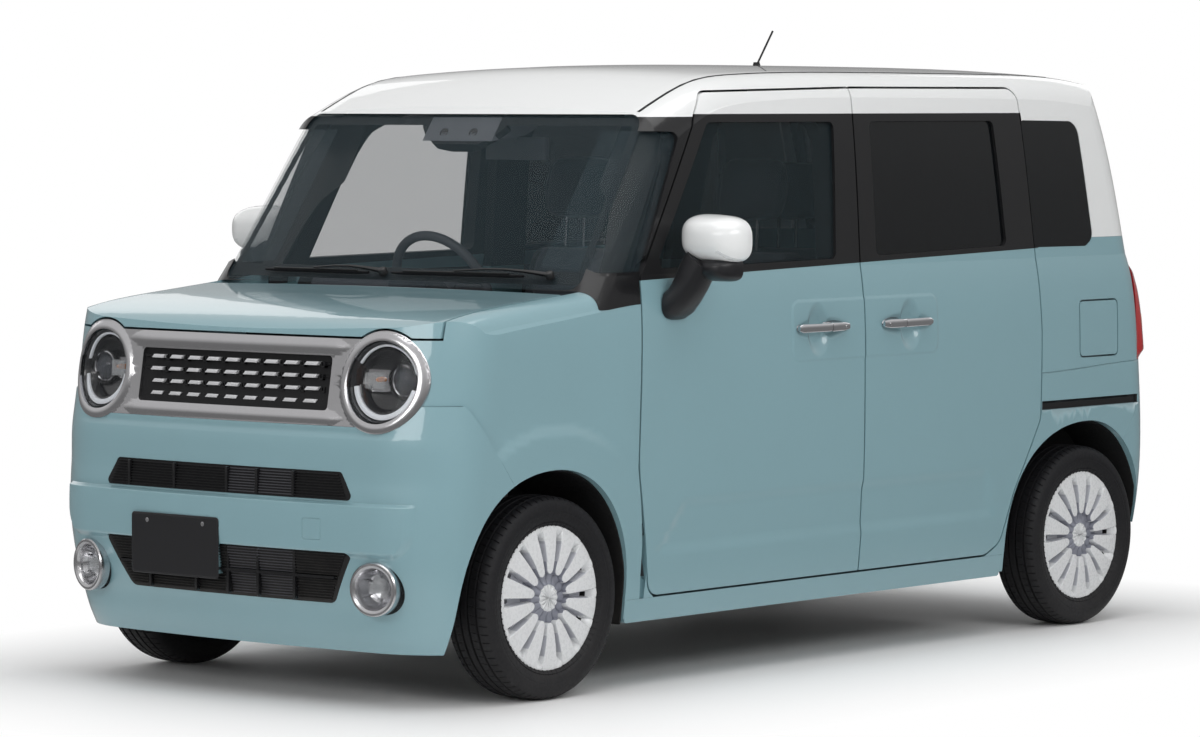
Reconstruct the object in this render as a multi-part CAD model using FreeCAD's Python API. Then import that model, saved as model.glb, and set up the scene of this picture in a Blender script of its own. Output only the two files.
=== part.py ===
import FreeCAD, Part
import math
import os

# A kei minivan: boxy two-tone body on four wheels, 660 cc class, right-hand drive.
# Millimetres. +Z is up, the nose points to -Y and the car's left side is +X.
# The origin is on the ground, below the centre of the car.

V = FreeCAD.Vector

# Overall size
length = 3395.0
width = 1475.0
height = 1695.0
wheelbase = 2460.0
front_overhang = 530.0
track_front = 1295.0
track_rear = 1300.0

# Tyres and wheels, 155/65 R14, standing under load
tyre_radius = 272.0
tyre_width = 155.0
rim_radius = 178.0
rim_width = 126.0
rim_lip = 12.0
cover_radius = 198.0

# Walls
wall = 40.0
door_thickness = 55.0
frame_depth = 100.0
nose_wall = 30.0
bonnet_thickness = 20.0
glass_thickness = 5.0
glass_inset = 9.0
floor_thickness = 12.0

# Clearances
shut_gap = 6.0
panel_gap = 0.5
seat_gap = 0.4
door_inner_gap = 10.0

# Heights
door_bottom = 247.0
floor_height = 240.0
belt_height = 1120.0
cowl_height = 1070.0
window_top = 1535.0
door_top = 1620.0
paint_split = 1176.0

# Lengthwise places, from the body's own datum lines
front_end = -length / 2
rear_end = length / 2
front_axle = front_end + front_overhang
rear_axle = front_axle + wheelbase
half = width / 2
cowl_y = front_axle + 126.0
bulkhead_top = cowl_height - 60.0
b_split = front_axle + 1344.5
c_split = rear_axle - 248.0
door_front = front_axle + 367.0
windscreen_rake = 0.70
rake_share = math.sqrt(1 + windscreen_rake ** 2)
screen_corner = 75.0
screen_bow = 30.0
bonnet_top = cowl_height + 12
screen_top = 1572.0

# Nose
nose_corner = 215.0
nose_bow = 22.0
lamp_x = 521.0
lamp_z = 858.0
lamp_bezel_radius = 134.0
lamp_radius = 108.0
surround_low = 740.0
surround_high = 968.0
grille_half = 353.0
grille_low = 779.0
grille_high = 922.0
bonnet_half = 665.0
bonnet_rear = cowl_y - 28.0
fog_x = 533.0
fog_z = 321.0
fog_radius = 70.0

# Tail
rear_corner = 120.0
rear_bow = 30.0
tailgate_half = 600.0
tailgate_bottom = 560.0
tailgate_top_y = rear_end - 290.0

# Hinges: where each axis lies, its pins and the room that an edge turns through
pin_gap = 0.3
swing_gap = 5.2
door_axis_x = half - 30.0
door_axis_y = door_front + 10.0
door_pin_radius = 6.0
door_pin_half = 32.0
door_hinge_heights = (430.0, 930.0)
bonnet_axis_y = bonnet_rear + 50.0
bonnet_axis_z = bonnet_top - 34.0
bonnet_pin_radius = 5.0
bonnet_hinge_x = 632.0
tailgate_lead = 40.0
gate_top_inset = 35.0
gate_edge_drop = 27.0
gate_edge_fall = 20.0
tailgate_axis_y = tailgate_top_y + tailgate_lead
tailgate_axis_z = 1632.0
tailgate_pin_radius = 5.0
tailgate_hinge_x = 250.0

# Steering
steering_x = -345.0
steering_y = front_axle + 747.0
steering_z = 1045.0
column_angle = 25.0

# Wheels and suspension
hub_face = 37.0
cover_face = 60.0
cover_spokes = 14
brake_radius = 112.0
lower_ball_x = 618.0
lower_ball_z = 187.0
ball_radius = 9.0
top_ball_radius = 12.0
strut_top_x = 505.0
strut_top_z = 850.0
top_ball_z = strut_top_z - 12.0
tower_radius = 98.0
liner_top = 614.0
sub_top = 212.0
rail_low = 400.0
rail_x = 395.0
firewall_y = front_axle + 180.0

# Cabin fittings
seat_floor = 370.0
boot_floor = 455.0
boot_step = rear_axle - 150.0
tank_front = rear_axle - 722.0
dash_rear = front_axle + 520.0
front_seat_x = 330.0
front_seat_y = front_axle + 1080.0
seat_height = 640.0
rear_seat_x = 255.0
rear_seat_y = rear_axle - 450.0
rear_seat_height = 660.0

# Handles, aerial and plates
handle_length = 190.0
handle_z = 951.0
front_handle_y = b_split - 210.0
rear_handle_y = b_split + 190.0
antenna_x = 0.0
antenna_y = cowl_y + 1645.0
plate_x = -161.0
plate_z = 399.0
plate_width = 330.0
plate_height = 165.0
plate_hole_spacing = 210.0
plate_hole_radius = 3.0
plate_hole_depth = 16.0
plate_hole_rise = 62.0
plate_seat_y = front_end - 1.0
rear_plate_z = 704.0
rear_plate_y = rear_end - 34.0
steering_wheel_radius = 185.0

# Body sections by height: share of the way up to the belt, then from belt to roof, with
# the inset of the side, the setback of the tail and the setback of the nose.
lower_levels = [(0.13, 36.0, 50.0, 80.0), (0.27, 18.0, 20.0, 22.0), (0.44, 5.0, 4.0, 0.0),
                (0.66, 0.0, 18.0, 34.0), (0.86, 2.5, 40.0, 72.0), (1.0, 19.0, 70.0, 112.0)]
upper_levels = [(0.0, 19.0, 70.0), (0.22, 26.0, 98.0), (0.55, 38.5, 146.0), (0.83, 54.0, 202.0),
                (1.08, 72.0, 270.0)]

# Crest of the roof and of the bonnet along the car: distance behind the windscreen's foot, drop from the top.
roof_crest = [(-250, 330), (150, 190), (352, 123), (470, 72), (600, 28), (780, 8), (1300, 0), (2000, 3),
              (2350, 14), (2560, 45), (2780, 110)]
bonnet_crest = [(-720, 300), (-620, 150), (-575, 92), (-500, 60), (-300, 28), (0, 0), (300, -20)]


def lower_rows():
    "Height, half width, tail and nose setbacks below the belt."
    return [(f * belt_height, half - inset, tail, nose_back) for f, inset, tail, nose_back in lower_levels]


def upper_rows():
    "Height, half width and tail setback above the belt."
    return [(belt_height + f * (height - belt_height), half - inset, tail) for f, inset, tail in upper_levels]


def half_width(z):
    "Half width of the body side at a height, read straight between the sections."
    rows = [row[:2] for row in lower_rows()] + [row[:2] for row in upper_rows()[1:]]
    for (z0, w0), (z1, w1) in zip(rows, rows[1:]):
        if z <= z1:
            return w0 + (w1 - w0) * (z - z0) / (z1 - z0)
    return rows[-1][1]


def bezier(*poles):
    curve = Part.BezierCurve()
    curve.setPoles([V(*p) for p in poles])
    return curve.toShape()


def corner(start, start_dir, end, end_dir):
    "Soft quarter turn from one edge's end to the next edge's start, tangent to both."
    reach = 0.56
    a = V(*start)
    b = V(*end)
    da = V(*start_dir).normalize()
    db = V(*end_dir).normalize()
    span = b - a
    la = abs(span.dot(da)) * reach
    lb = abs(span.dot(db)) * reach
    curve = Part.BezierCurve()
    curve.setPoles([a, a + da * la, b - db * lb, b])
    return curve.toShape()


def plan_ring(z, w, y_front, y_rear, r_front, r_rear, bow_front, bow_rear):
    "Closed outline at one height: straight sides, bowed ends, soft corners."
    xf = w - r_front
    xr = w - r_rear
    yf = y_front + bow_front
    yr = y_rear - bow_rear
    tf = 2 * bow_front / xf
    tr = 2 * bow_rear / xr
    sides_front = yf + r_front
    sides_rear = yr - r_rear
    edges = [
        bezier((w, sides_rear, z), (w, sides_front, z)),
        corner((w, sides_front, z), (0, -1, 0), (xf, yf, z), (-1, -tf, 0)),
        bezier((xf, yf, z), (0, yf - 2 * bow_front, z), (-xf, yf, z)),
        corner((-xf, yf, z), (-1, tf, 0), (-w, sides_front, z), (0, 1, 0)),
        bezier((-w, sides_front, z), (-w, sides_rear, z)),
        corner((-w, sides_rear, z), (0, 1, 0), (-xr, yr, z), (1, tr, 0)),
        bezier((-xr, yr, z), (0, yr + 2 * bow_rear, z), (xr, yr, z)),
        corner((xr, yr, z), (1, -tr, 0), (w, sides_rear, z), (0, -1, 0)),
    ]
    return Part.Wire(edges)


def cross_ring(y, top, w, shoulder, bow, foot, flare):
    "Closed outline across the car at one place along it: bowed top, soft shoulders, sides flared clear."
    xs = w - shoulder
    zs = top - bow
    ts = 2 * bow / xs
    zf = zs - shoulder * 0.62
    edges = [
        bezier((-xs, y, zs), (0, y, zs + 2 * bow), (xs, y, zs)),
        corner((xs, y, zs), (1, 0, -ts), (w, y, zf), (0.30, 0, -1)),
        bezier((w, y, zf), (w + flare, y, zf - flare * 1.6)),
        bezier((w + flare, y, zf - flare * 1.6), (w + flare, y, foot)),
        bezier((w + flare, y, foot), (-w - flare, y, foot)),
        bezier((-w - flare, y, foot), (-w - flare, y, zf - flare * 1.6)),
        bezier((-w - flare, y, zf - flare * 1.6), (-w, y, zf)),
        corner((-w, y, zf), (0.30, 0, 1), (-xs, y, zs), (1, 0, ts)),
    ]
    return Part.Wire(edges)


def loft(wires, ruled=False):
    return Part.makeLoft(wires, True, ruled)


made = {}


def cabin(depth):
    "The cabin's closed form, set in from the outer skin by depth."
    key = ("cabin", depth)
    if key not in made:
        parts = []
        for rows in (lower_rows(), upper_rows()):
            wires = []
            for row in rows:
                z, w, tail = row[:3]
                y_front = cowl_y + (z - cowl_height) * windscreen_rake + depth * rake_share
                round_rear = max(rear_corner - depth, 20)
                y_rear = rear_end - tail - depth
                wires.append(plan_ring(z, w - depth, y_front, y_rear, screen_corner, round_rear,
                                       screen_bow, rear_bow))
            parts.append(loft(wires))
        rings = parts[0].fuse(parts[1])
        stations = []
        top_width = half_width(door_top)
        for behind, drop in roof_crest:
            y = cowl_y + behind
            stations.append(cross_ring(y, height - drop - depth, top_width + 4 - depth, 130, 20, 100, 200))
        made[key] = rings.common(loft(stations))
    return made[key]


def nose(depth):
    "The nose's closed form ahead of the doors, set in from the outer skin by depth."
    key = ("nose", depth)
    if key not in made:
        wires = []
        for z, w, tail, back in lower_rows():
            y_front = front_end + back + depth
            wires.append(plan_ring(z, w - depth, y_front, b_split, nose_corner - depth, 60, nose_bow, 10))
        rings = loft(wires)
        stations = []
        top_width = half_width(cowl_height)
        for behind, drop in bonnet_crest:
            y = cowl_y + behind
            stations.append(cross_ring(y, bonnet_top - drop - depth, top_width + 3 - depth, 80, 6, 100, 150))
        made[key] = rings.common(loft(stations))
    return made[key]


def shell(form, outer, inner):
    "The wall of a closed form between two depths."
    key = (form.__name__, outer, inner)
    if key not in made:
        made[key] = form(outer).cut(form(inner))
    return made[key]


def grow(points, amount):
    "The outline moved outward by amount, each corner's radius with it."
    area = sum(a[0] * b[1] - b[0] * a[1] for a, b in zip(points, points[1:] + points[:1]))
    sign = 1 if area > 0 else -1
    lines = []
    for a, b in zip(points, points[1:] + points[:1]):
        du, dv = b[0] - a[0], b[1] - a[1]
        n = math.hypot(du, dv)
        lines.append((a[0] + sign * amount * dv / n, a[1] - sign * amount * du / n, du, dv))
    out = []
    for i, p in enumerate(points):
        u0, v0, a0, b0 = lines[i - 1]
        u1, v1, a1, b1 = lines[i]
        cross = a0 * b1 - b0 * a1
        t = ((u1 - u0) * b1 - (v1 - v0) * a1) / cross
        turn = cross * sign
        radius = p[2] + amount if turn > 0 else p[2] - amount
        out.append((u0 + t * a0, v0 + t * b0, max(radius, 1.0)))
    return out


def rounded(points, place):
    "Closed wire through corners (u, v, radius), set in space by place(u, v)."
    starts, ends, mids = [], [], []
    count = len(points)
    for i, (u, v, r) in enumerate(points):
        pu, pv, _ = points[i - 1]
        nu, nv, _ = points[(i + 1) % count]
        lp = math.hypot(pu - u, pv - v)
        ln = math.hypot(nu - u, nv - v)
        ap = ((pu - u) / lp, (pv - v) / lp)
        an = ((nu - u) / ln, (nv - v) / ln)
        cos_angle = max(-1.0, min(1.0, ap[0] * an[0] + ap[1] * an[1]))
        inside = math.acos(cos_angle)
        reach = min(r / math.tan(inside / 2), 0.49 * lp, 0.49 * ln)
        radius = reach * math.tan(inside / 2)
        bis = (ap[0] + an[0], ap[1] + an[1])
        n = math.hypot(*bis)
        far = radius / math.sin(inside / 2) - radius
        starts.append((u + ap[0] * reach, v + ap[1] * reach))
        ends.append((u + an[0] * reach, v + an[1] * reach))
        mids.append((u + bis[0] / n * far, v + bis[1] / n * far))
    edges = []
    for i in range(count):
        edges.append(Part.Arc(place(*starts[i]), place(*mids[i]), place(*ends[i])).toShape())
        following = starts[(i + 1) % count]
        if math.hypot(ends[i][0] - following[0], ends[i][1] - following[1]) > 1e-3:
            edges.append(Part.LineSegment(place(*ends[i]), place(*following)).toShape())
    return Part.Wire(edges)


def side_prism(points, x0, x1):
    "Outline in the side view (y, z, radius), run from x0 to x1."
    face = Part.Face(rounded(points, lambda y, z: V(x0, y, z)))
    return face.extrude(V(x1 - x0, 0, 0))


def front_prism(points, y0, y1):
    "Outline in the front view (x, z, radius), run from y0 to y1."
    face = Part.Face(rounded(points, lambda x, z: V(x, y0, z)))
    return face.extrude(V(0, y1 - y0, 0))


def plan_prism(points, z0, z1):
    "Outline in the plan view (x, y, radius), run from z0 to z1."
    face = Part.Face(rounded(points, lambda x, y: V(x, y, z0)))
    return face.extrude(V(0, 0, z1 - z0))


def box(x0, x1, y0, y1, z0, z1):
    return Part.makeBox(x1 - x0, y1 - y0, z1 - z0, V(x0, y0, z0))


def across(radius, x0, x1, y, z):
    "Round bar along X."
    return Part.makeCylinder(radius, x1 - x0, V(x0, y, z), V(1, 0, 0))


def mirror(shape):
    return shape.mirror(V(0, 0, 0), V(1, 0, 0))


def join(first, *others):
    result = first.multiFuse(list(others)) if others else first
    return result.removeSplitter()


def pair(shape):
    "A left piece with its mirror image."
    return Part.makeCompound([shape, mirror(shape)])


def solids_of(shape):
    return [s for s in shape.Solids if s.Volume > 1.0]


os.makedirs("parts", exist_ok=True)


def write(name, shape):
    solids = solids_of(shape)
    whole = solids[0] if len(solids) == 1 else Part.makeCompound(solids)
    whole.exportStep("parts/" + name + ".step")
    good = all(s.isValid() for s in solids)
    volume = round(sum(s.Volume for s in solids) / 1e6, 3)
    print(name, "solids", len(solids), "valid", good, "volume", volume)


# Outlines in the side view

front_door_outline = [
    (door_front + 40, door_bottom, 45),
    (door_front - 24, 600, 400),
    (door_front - 4, belt_height - 15, 40),
    (door_front + 278, window_top + 20, 60),
    (door_front + 330, door_top - 8, 50),
    (b_split - shut_gap / 2, door_top + 4, 4),
    (b_split - shut_gap / 2, door_bottom, 4),
]
rear_door_outline = [
    (b_split + shut_gap / 2, door_bottom, 4),
    (b_split + shut_gap / 2, door_top + 4, 4),
    (c_split - 62, door_top + 4, 45),
    (c_split - 48, window_top, 60),
    (c_split - 8, belt_height + 20, 40),
    (c_split + 4, 900, 200),
    (c_split, 640, 60),
    (c_split - 126, 430, 150),
    (c_split - 182, 280, 60),
    (c_split - 250, door_bottom, 60),
]
front_window = [
    (door_front + 62, belt_height + 12, 25),
    (door_front + 318, window_top - 5, 25),
    (b_split - 92, window_top - 5, 20),
    (b_split - 112, belt_height + 22, 20),
]
rear_window = [
    (b_split + 78, belt_height + 26, 20),
    (b_split + 74, window_top - 5, 20),
    (c_split - 188, window_top - 5, 20),
    (c_split - 148, belt_height + 40, 20),
]
front_opening = [
    (door_front + 110, door_bottom + 55, 60),
    (door_front + 60, belt_height - 60, 80),
    (door_front + 335, window_top, 60),
    (b_split - 75, window_top, 40),
    (b_split - 75, door_bottom + 55, 50),
]
rear_opening = [
    (b_split + 75, door_bottom + 55, 50),
    (b_split + 75, window_top, 40),
    (c_split - 110, window_top, 60),
    (c_split - 85, belt_height, 60),
    (c_split - 130, 640, 80),
    (c_split - 300, door_bottom + 55, 80),
]


# Lower corners (y, z) of the roller carriers behind each sliding door
rear_door_rollers = [(b_split + 24, 420.0), (b_split + 24, 1040.0), (c_split - 82, 690.0)]


def arch_outline(axle, forward, behind, top, low):
    "Wheel arch in the side view: a soft egg, open at the bottom."
    k = 0.60
    middle = tyre_radius
    pts = [
        ((axle - forward, low), (axle - forward, middle)),
        ((axle - forward, middle), (axle - forward, middle + (top - middle) * k),
         (axle - forward * k, top), (axle, top)),
        ((axle, top), (axle + behind * k, top), (axle + behind, middle + (top - middle) * k),
         (axle + behind, middle)),
        ((axle + behind, middle), (axle + behind, low)),
        ((axle + behind, low), (axle - forward, low)),
    ]
    return pts


def arch_cut(axle, forward, behind, top, x0, x1):
    low = -50.0
    outline = arch_outline(axle, forward, behind, top, low)
    edges = [bezier(*[(x0, y, z) for y, z in piece]) for piece in outline]
    return Part.Face(Part.Wire(edges)).extrude(V(x1 - x0, 0, 0))


far = half + 200.0
front_arch = arch_cut(front_axle, 352.0, 308.0, liner_top, 380.0, far)
rear_arch = arch_cut(rear_axle, 400.0, 305.0, 621.0, 520.0, far)


def leading_edge(z):
    "Where the front door's front edge lies at a height up to the belt."
    rows = [(row[1], row[0]) for row in front_door_outline[:3]]
    for (z0, y0), (z1, y1) in zip(rows, rows[1:]):
        if z <= z1:
            return y0 + (y1 - y0) * (z - z0) / (z1 - z0)
    return rows[-1][1] + (z - rows[-1][0]) * 0.6


def door_sweep():
    "The room that the front door's front edge turns through about its hinge."
    levels = [door_bottom - shut_gap, 300, 400, 500, 600, 750, 900, 1050, belt_height - 15,
              belt_height + 10, belt_height + 50]
    profile = []
    for z in levels:
        ahead = max(door_axis_y - leading_edge(z), 0)
        outside = max(half_width(z) - door_axis_x, 0)
        profile.append((math.hypot(ahead, outside) + swing_gap, z))
    points = [V(0, 0, levels[0])] + [V(r, 0, z) for r, z in profile] + [V(0, 0, levels[-1])]
    turned_room = Part.Face(Part.makePolygon(points + [points[0]])).revolve(V(0, 0, 0), V(0, 0, 1), 360)
    return placed(turned_room, door_axis_x, door_axis_y, 0)


def door_hinge_pin(radius, half_length, z):
    return Part.makeCylinder(radius, 2 * half_length, V(door_axis_x, door_axis_y, z - half_length))


def door_hinge_room():
    "Pockets and bores in the front door for its two hinges."
    pieces = []
    for z in door_hinge_heights:
        bracket = box(door_axis_x - 80, door_axis_x + 16, door_front - 60, door_axis_y + 14, z - 16, z + 16)
        pieces.append(bracket)
        pieces.append(door_hinge_pin(door_pin_radius + pin_gap, door_pin_half + 2, z))
    return pieces


def door_hinges():
    "Brackets on the hinge post, each with the pin that the door turns on."
    pieces = []
    for z in door_hinge_heights:
        leaf = box(door_axis_x - 68, door_axis_x + 6, door_axis_y - 8, door_axis_y + 8, z - 10, z + 10)
        pieces.append(leaf)
        pieces.append(door_hinge_pin(door_pin_radius, door_pin_half, z))
    return pieces


def placed(shape, x, y, z):
    moved = shape.copy()
    moved.translate(V(x, y, z))
    return moved


def doors():
    skin = shell(cabin, 0, door_thickness)
    left = skin.common(side_prism(front_door_outline, half - 180, far)).cut(side_prism(front_window, 0, far))
    for tool in door_hinge_room():
        left = left.cut(tool)
    glass = shell(cabin, glass_inset, glass_inset + glass_thickness)
    front_glass = glass.common(side_prism(grow(front_window, -0.3), half - 200, far))
    write("front_door_left", left)
    write("front_door_right", mirror(left))
    write("door_glass_left", front_glass)
    write("door_glass_right", mirror(front_glass))
    rear = skin.common(side_prism(rear_door_outline, half - 180, far)).cut(side_prism(rear_window, 0, far))
    rollers = shell(cabin, door_thickness - 5, door_thickness + door_inner_gap - pin_gap)
    carriers = [box(300, far, y, y + 34, z, z + 26) for y, z in rear_door_rollers]
    rear = join(rear, *[rollers.common(carrier) for carrier in carriers])
    write("rear_doors", pair(rear))
    rear_glass = glass.common(side_prism(grow(rear_window, -0.3), half - 200, far))
    return rear_glass


# Fixed glass and pillars

front_quarter_window = [
    (door_front - 172, belt_height + 8, 14),
    (door_front + 88, window_top - 28, 14),
    (door_front + 196, window_top - 30, 14),
    (door_front + 0, belt_height + 8, 14),
]
rear_quarter_window = [
    (c_split - 6, belt_height + 32, 8),
    (c_split - 42, window_top - 4, 8),
    (c_split + 246, window_top - 8, 55),
    (c_split + 302, belt_height + 52, 40),
    (c_split + 262, belt_height + 30, 30),
]


def screen_outline(amount):
    pts = [
        (-666, cowl_height + 12, 30),
        (-622, screen_top - 20, 45),
        (622, screen_top - 20, 45),
        (666, cowl_height + 12, 30),
    ]
    return grow(pts, amount)


def screen_zone(amount):
    "The windscreen's outline seen from ahead, raised in its middle, as a prism through the cabin's front."
    face = Part.Face(rounded(screen_outline(amount), lambda x, z: V(x, cowl_y - 300, z)))
    return face.extrude(V(0, 560 + (screen_top - cowl_height) * windscreen_rake - 120, 0))


pillar_back = [
    (cowl_y - 160, belt_height - 90, 5),
    (door_front - 4 - shut_gap * 1.2, belt_height - 90, 5),
    (door_front + 278 - shut_gap * 1.2, window_top + 10, 5),
    (cowl_y + 250, window_top + 10, 5),
]


def door_zone(amount):
    return side_prism(grow(front_door_outline, amount), 0, far).fuse(
        side_prism(grow(rear_door_outline, amount), 0, far))


def fixed_upper(rear_glass):
    skin = shell(cabin, 0, wall)
    screen_cut = screen_zone(0.3)
    screen = shell(cabin, 4.0, 4.0 + glass_thickness).common(screen_zone(0))
    front_only = box(-far, far, cowl_y - 200, cowl_y + 500, cowl_height - 30, screen_top + 60)
    write("windscreen", screen.common(front_only))
    pillar = skin.common(side_prism(pillar_back, 300, far)).cut(screen_cut)
    door_room = side_prism(grow(front_door_outline, shut_gap), 0, far)
    pillar = pillar.cut(side_prism(front_quarter_window, 0, far)).cut(door_room)
    write("front_pillars", pair(pillar.cut(nose(-panel_gap)).cut(door_sweep())))
    glass = shell(cabin, glass_inset, glass_inset + glass_thickness)
    quarter = glass.common(side_prism(grow(front_quarter_window, -0.3), 500, far))
    write("front_quarter_glass", pair(quarter))
    back = shell(cabin, 2.0, 2.0 + glass_thickness).common(side_prism(rear_quarter_window, half - 150, far))
    back = back.cut(side_prism(grow(rear_door_outline, shut_gap), 0, far))
    write("rear_side_glass", Part.makeCompound([rear_glass, mirror(rear_glass), back, mirror(back)]))
    return skin


def tailgate_zone(amount):
    pts = [
        (-tailgate_half + 15, tailgate_bottom, 40),
        (-tailgate_half, 900, 300),
        (-tailgate_half + 5, belt_height + 60, 200),
        (-tailgate_half + gate_top_inset, height + 60, 5),
        (tailgate_half - gate_top_inset, height + 60, 5),
        (tailgate_half - 5, belt_height + 60, 200),
        (tailgate_half, 900, 300),
        (tailgate_half - 15, tailgate_bottom, 40),
    ]
    return front_prism(grow(pts, amount), tailgate_top_y - amount, rear_end + 50)


def tailgate_sweep():
    "The room that the tailgate's top edge turns through about its hinge."
    rise = height - gate_edge_drop - tailgate_axis_z
    end = tailgate_half - gate_top_inset
    stations = [0, 190, 380, end + shut_gap]
    profile = [(x, math.hypot(tailgate_lead, rise - gate_edge_fall * (x / end) ** 2) + swing_gap)
               for x in stations]
    full = [(-x, r) for x, r in reversed(profile[1:])] + profile
    room = turned([(full[0][0], 0)] + full + [(full[-1][0], 0)])
    return placed(room, 0, tailgate_axis_y, tailgate_axis_z)


def hinge_arm(points, x, half_wide):
    "Plate on the tailgate's hinge, from corners (y, z) about its axis."
    corners = [V(x - half_wide, tailgate_axis_y + y, tailgate_axis_z + z) for y, z in points]
    return Part.Face(Part.makePolygon(corners + [corners[0]])).extrude(V(2 * half_wide, 0, 0))


def tailgate_hinges():
    "Goosenecks under the roof's rear edge, each with its pin."
    arm = [(8, 6), (8, -30), (-20, -62), (-100, -62), (-100, 8),
           (-86, 8), (-86, -50), (-36, -50), (-8, -22), (-8, 6)]
    pieces = []
    for x in (-tailgate_hinge_x, tailgate_hinge_x):
        pieces.append(hinge_arm(arm, x, 8))
        pieces.append(across(tailgate_pin_radius, x - 26, x + 26, tailgate_axis_y, tailgate_axis_z))
    return pieces


def tailgate_hinge_room():
    pocket = [(14, 12), (-10, 12), (-50, 20), (-50, -70), (14, -70)]
    pieces = []
    for x in (-tailgate_hinge_x, tailgate_hinge_x):
        pieces.append(hinge_arm(pocket, x, 14))
        pieces.append(across(tailgate_pin_radius + pin_gap, x - 28, x + 28, tailgate_axis_y, tailgate_axis_z))
    return pieces


def roof_and_sides(skin):
    doors_cut = door_zone(shut_gap)
    fixed_doors = side_prism(grow(rear_door_outline, shut_gap), 0, far)
    above = box(-far, far, cowl_y + 200, rear_end, window_top + 10 + panel_gap, height + 50)
    rear_upper = box(-far, far, c_split - 60, rear_end, paint_split, height + 50)
    quarter_cut = side_prism(grow(rear_quarter_window, 0.3), 300, far)
    cuts = [doors_cut, mirror(doors_cut), screen_zone(0.3), tailgate_zone(shut_gap)]
    roof = skin.common(join(above, rear_upper))
    recess = shell(cabin, 0, 12).common(quarter_cut)
    through = side_prism(grow(rear_quarter_window, -30), 300, far)
    for tool in cuts + [recess, mirror(recess), through, mirror(through), tailgate_sweep()]:
        roof = roof.cut(tool)
    write("roof", join(roof, *tailgate_hinges()))
    quarter = skin.common(box(300, far, c_split - 260, rear_end + 50, 190, paint_split - panel_gap))
    for tool in [fixed_doors, recess, through, tailgate_zone(shut_gap), rear_arch, sill_zone(panel_gap)]:
        quarter = quarter.cut(tool)
    quarter = quarter.cut(side_prism(bumper_outline(panel_gap), -far, far))
    return quarter


def bumper_outline(amount):
    pts = [
        (rear_end + 60, 150, 2),
        (rear_axle + 200, 150, 2),
        (rear_axle + 200, 560, 2),
        (rear_axle + 272, 660, 30),
        (rear_end + 60, 660, 2),
    ]
    return grow(pts, amount)


def fuel_lid_outline(amount):
    y0 = rear_axle - 41
    y1 = rear_axle + 155
    return grow([(y0, 818, 14), (y1, 818, 14), (y1, 983, 14), (y0, 983, 14)], amount)


def tail_lamp_zone(amount):
    pts = [(rear_axle + 268, 795, 8), (rear_axle + 290, 1120, 8),
           (rear_end + 60, 1120, 8), (rear_end + 60, 795, 8)]
    return side_prism(grow(pts, amount), tailgate_half - 40, far)


def quarters(quarter):
    pocket = side_prism(fuel_lid_outline(shut_gap - 1), 0, far).common(shell(cabin, 0, wall - 8))
    lid = shell(cabin, 0, 6).common(side_prism(fuel_lid_outline(0), half - 60, far))
    lamp = tail_lamp_zone(0)
    lamp_cut = tail_lamp_zone(panel_gap).common(shell(cabin, 0, 30 + panel_gap))
    plain = quarter.cut(lamp_cut)
    left = plain.cut(pocket)
    filler = Part.makeCylinder(32, 12, V(half_width(900) - wall + 8, rear_axle + 60, 900), V(1, 0, 0))
    peg = Part.makeCylinder(7, 100, V(half - 70, rear_axle + 135, 900), V(1, 0, 0))
    buffer = shell(cabin, 6 + pin_gap, wall - 8 + 1).common(peg)
    write("quarter_panels", Part.makeCompound([join(left, filler, buffer), mirror(plain)]))
    write("fuel_lid", lid)
    tail_lamp = shell(cabin, 0, 30).common(lamp).cut(tailgate_zone(shut_gap))
    write("tail_lamps", pair(tail_lamp))


def tailgate():
    skin = shell(cabin, 0, wall)
    gate = skin.common(tailgate_zone(0))
    window = [
        (-tailgate_half + 50, belt_height + 60, 50),
        (-tailgate_half + 85, height - 160, 50),
        (tailgate_half - 85, height - 160, 50),
        (tailgate_half - 50, belt_height + 60, 50),
    ]
    y0 = tailgate_top_y - 100
    gate = gate.cut(front_prism(window, y0, rear_end + 60))
    w = plate_width / 2 + 10
    h = plate_height / 2 + 10
    recess = [(-w, rear_plate_z - h, 12), (w, rear_plate_z - h, 12),
              (w, rear_plate_z + h, 12), (-w, rear_plate_z + h, 12)]
    gate = gate.cut(front_prism(recess, rear_plate_y, rear_end + 60))
    gate = gate.cut(plate_holes(0, rear_plate_y, rear_plate_z, -1))
    for tool in tailgate_hinge_room():
        gate = gate.cut(tool)
    glass = shell(cabin, glass_inset, glass_inset + glass_thickness)
    pane = glass.common(front_prism(grow(window, -0.3), y0 + 150, rear_end + 60))
    write("tailgate", gate)
    write("tailgate_glass", pane)


def rear_bumper():
    outer = shell(cabin, 0, nose_wall)
    zone = side_prism(bumper_outline(0), -far, far)
    bar = outer.common(zone)
    cut = tailgate_zone(shut_gap)
    bar = bar.cut(cut).cut(rear_arch).cut(mirror(rear_arch))
    bar = bar.cut(box(-far, far, 0, rear_end + 50, 0, 290))
    write("rear_bumper", bar)


def sill_zone(amount):
    pts = [(front_axle + 312, 178, 10), (front_axle + 312, door_bottom - shut_gap, 4),
           (c_split - 158, door_bottom - shut_gap, 4), (c_split - 170, 178, 10)]
    return side_prism(grow(pts, amount), 480, far)


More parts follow.
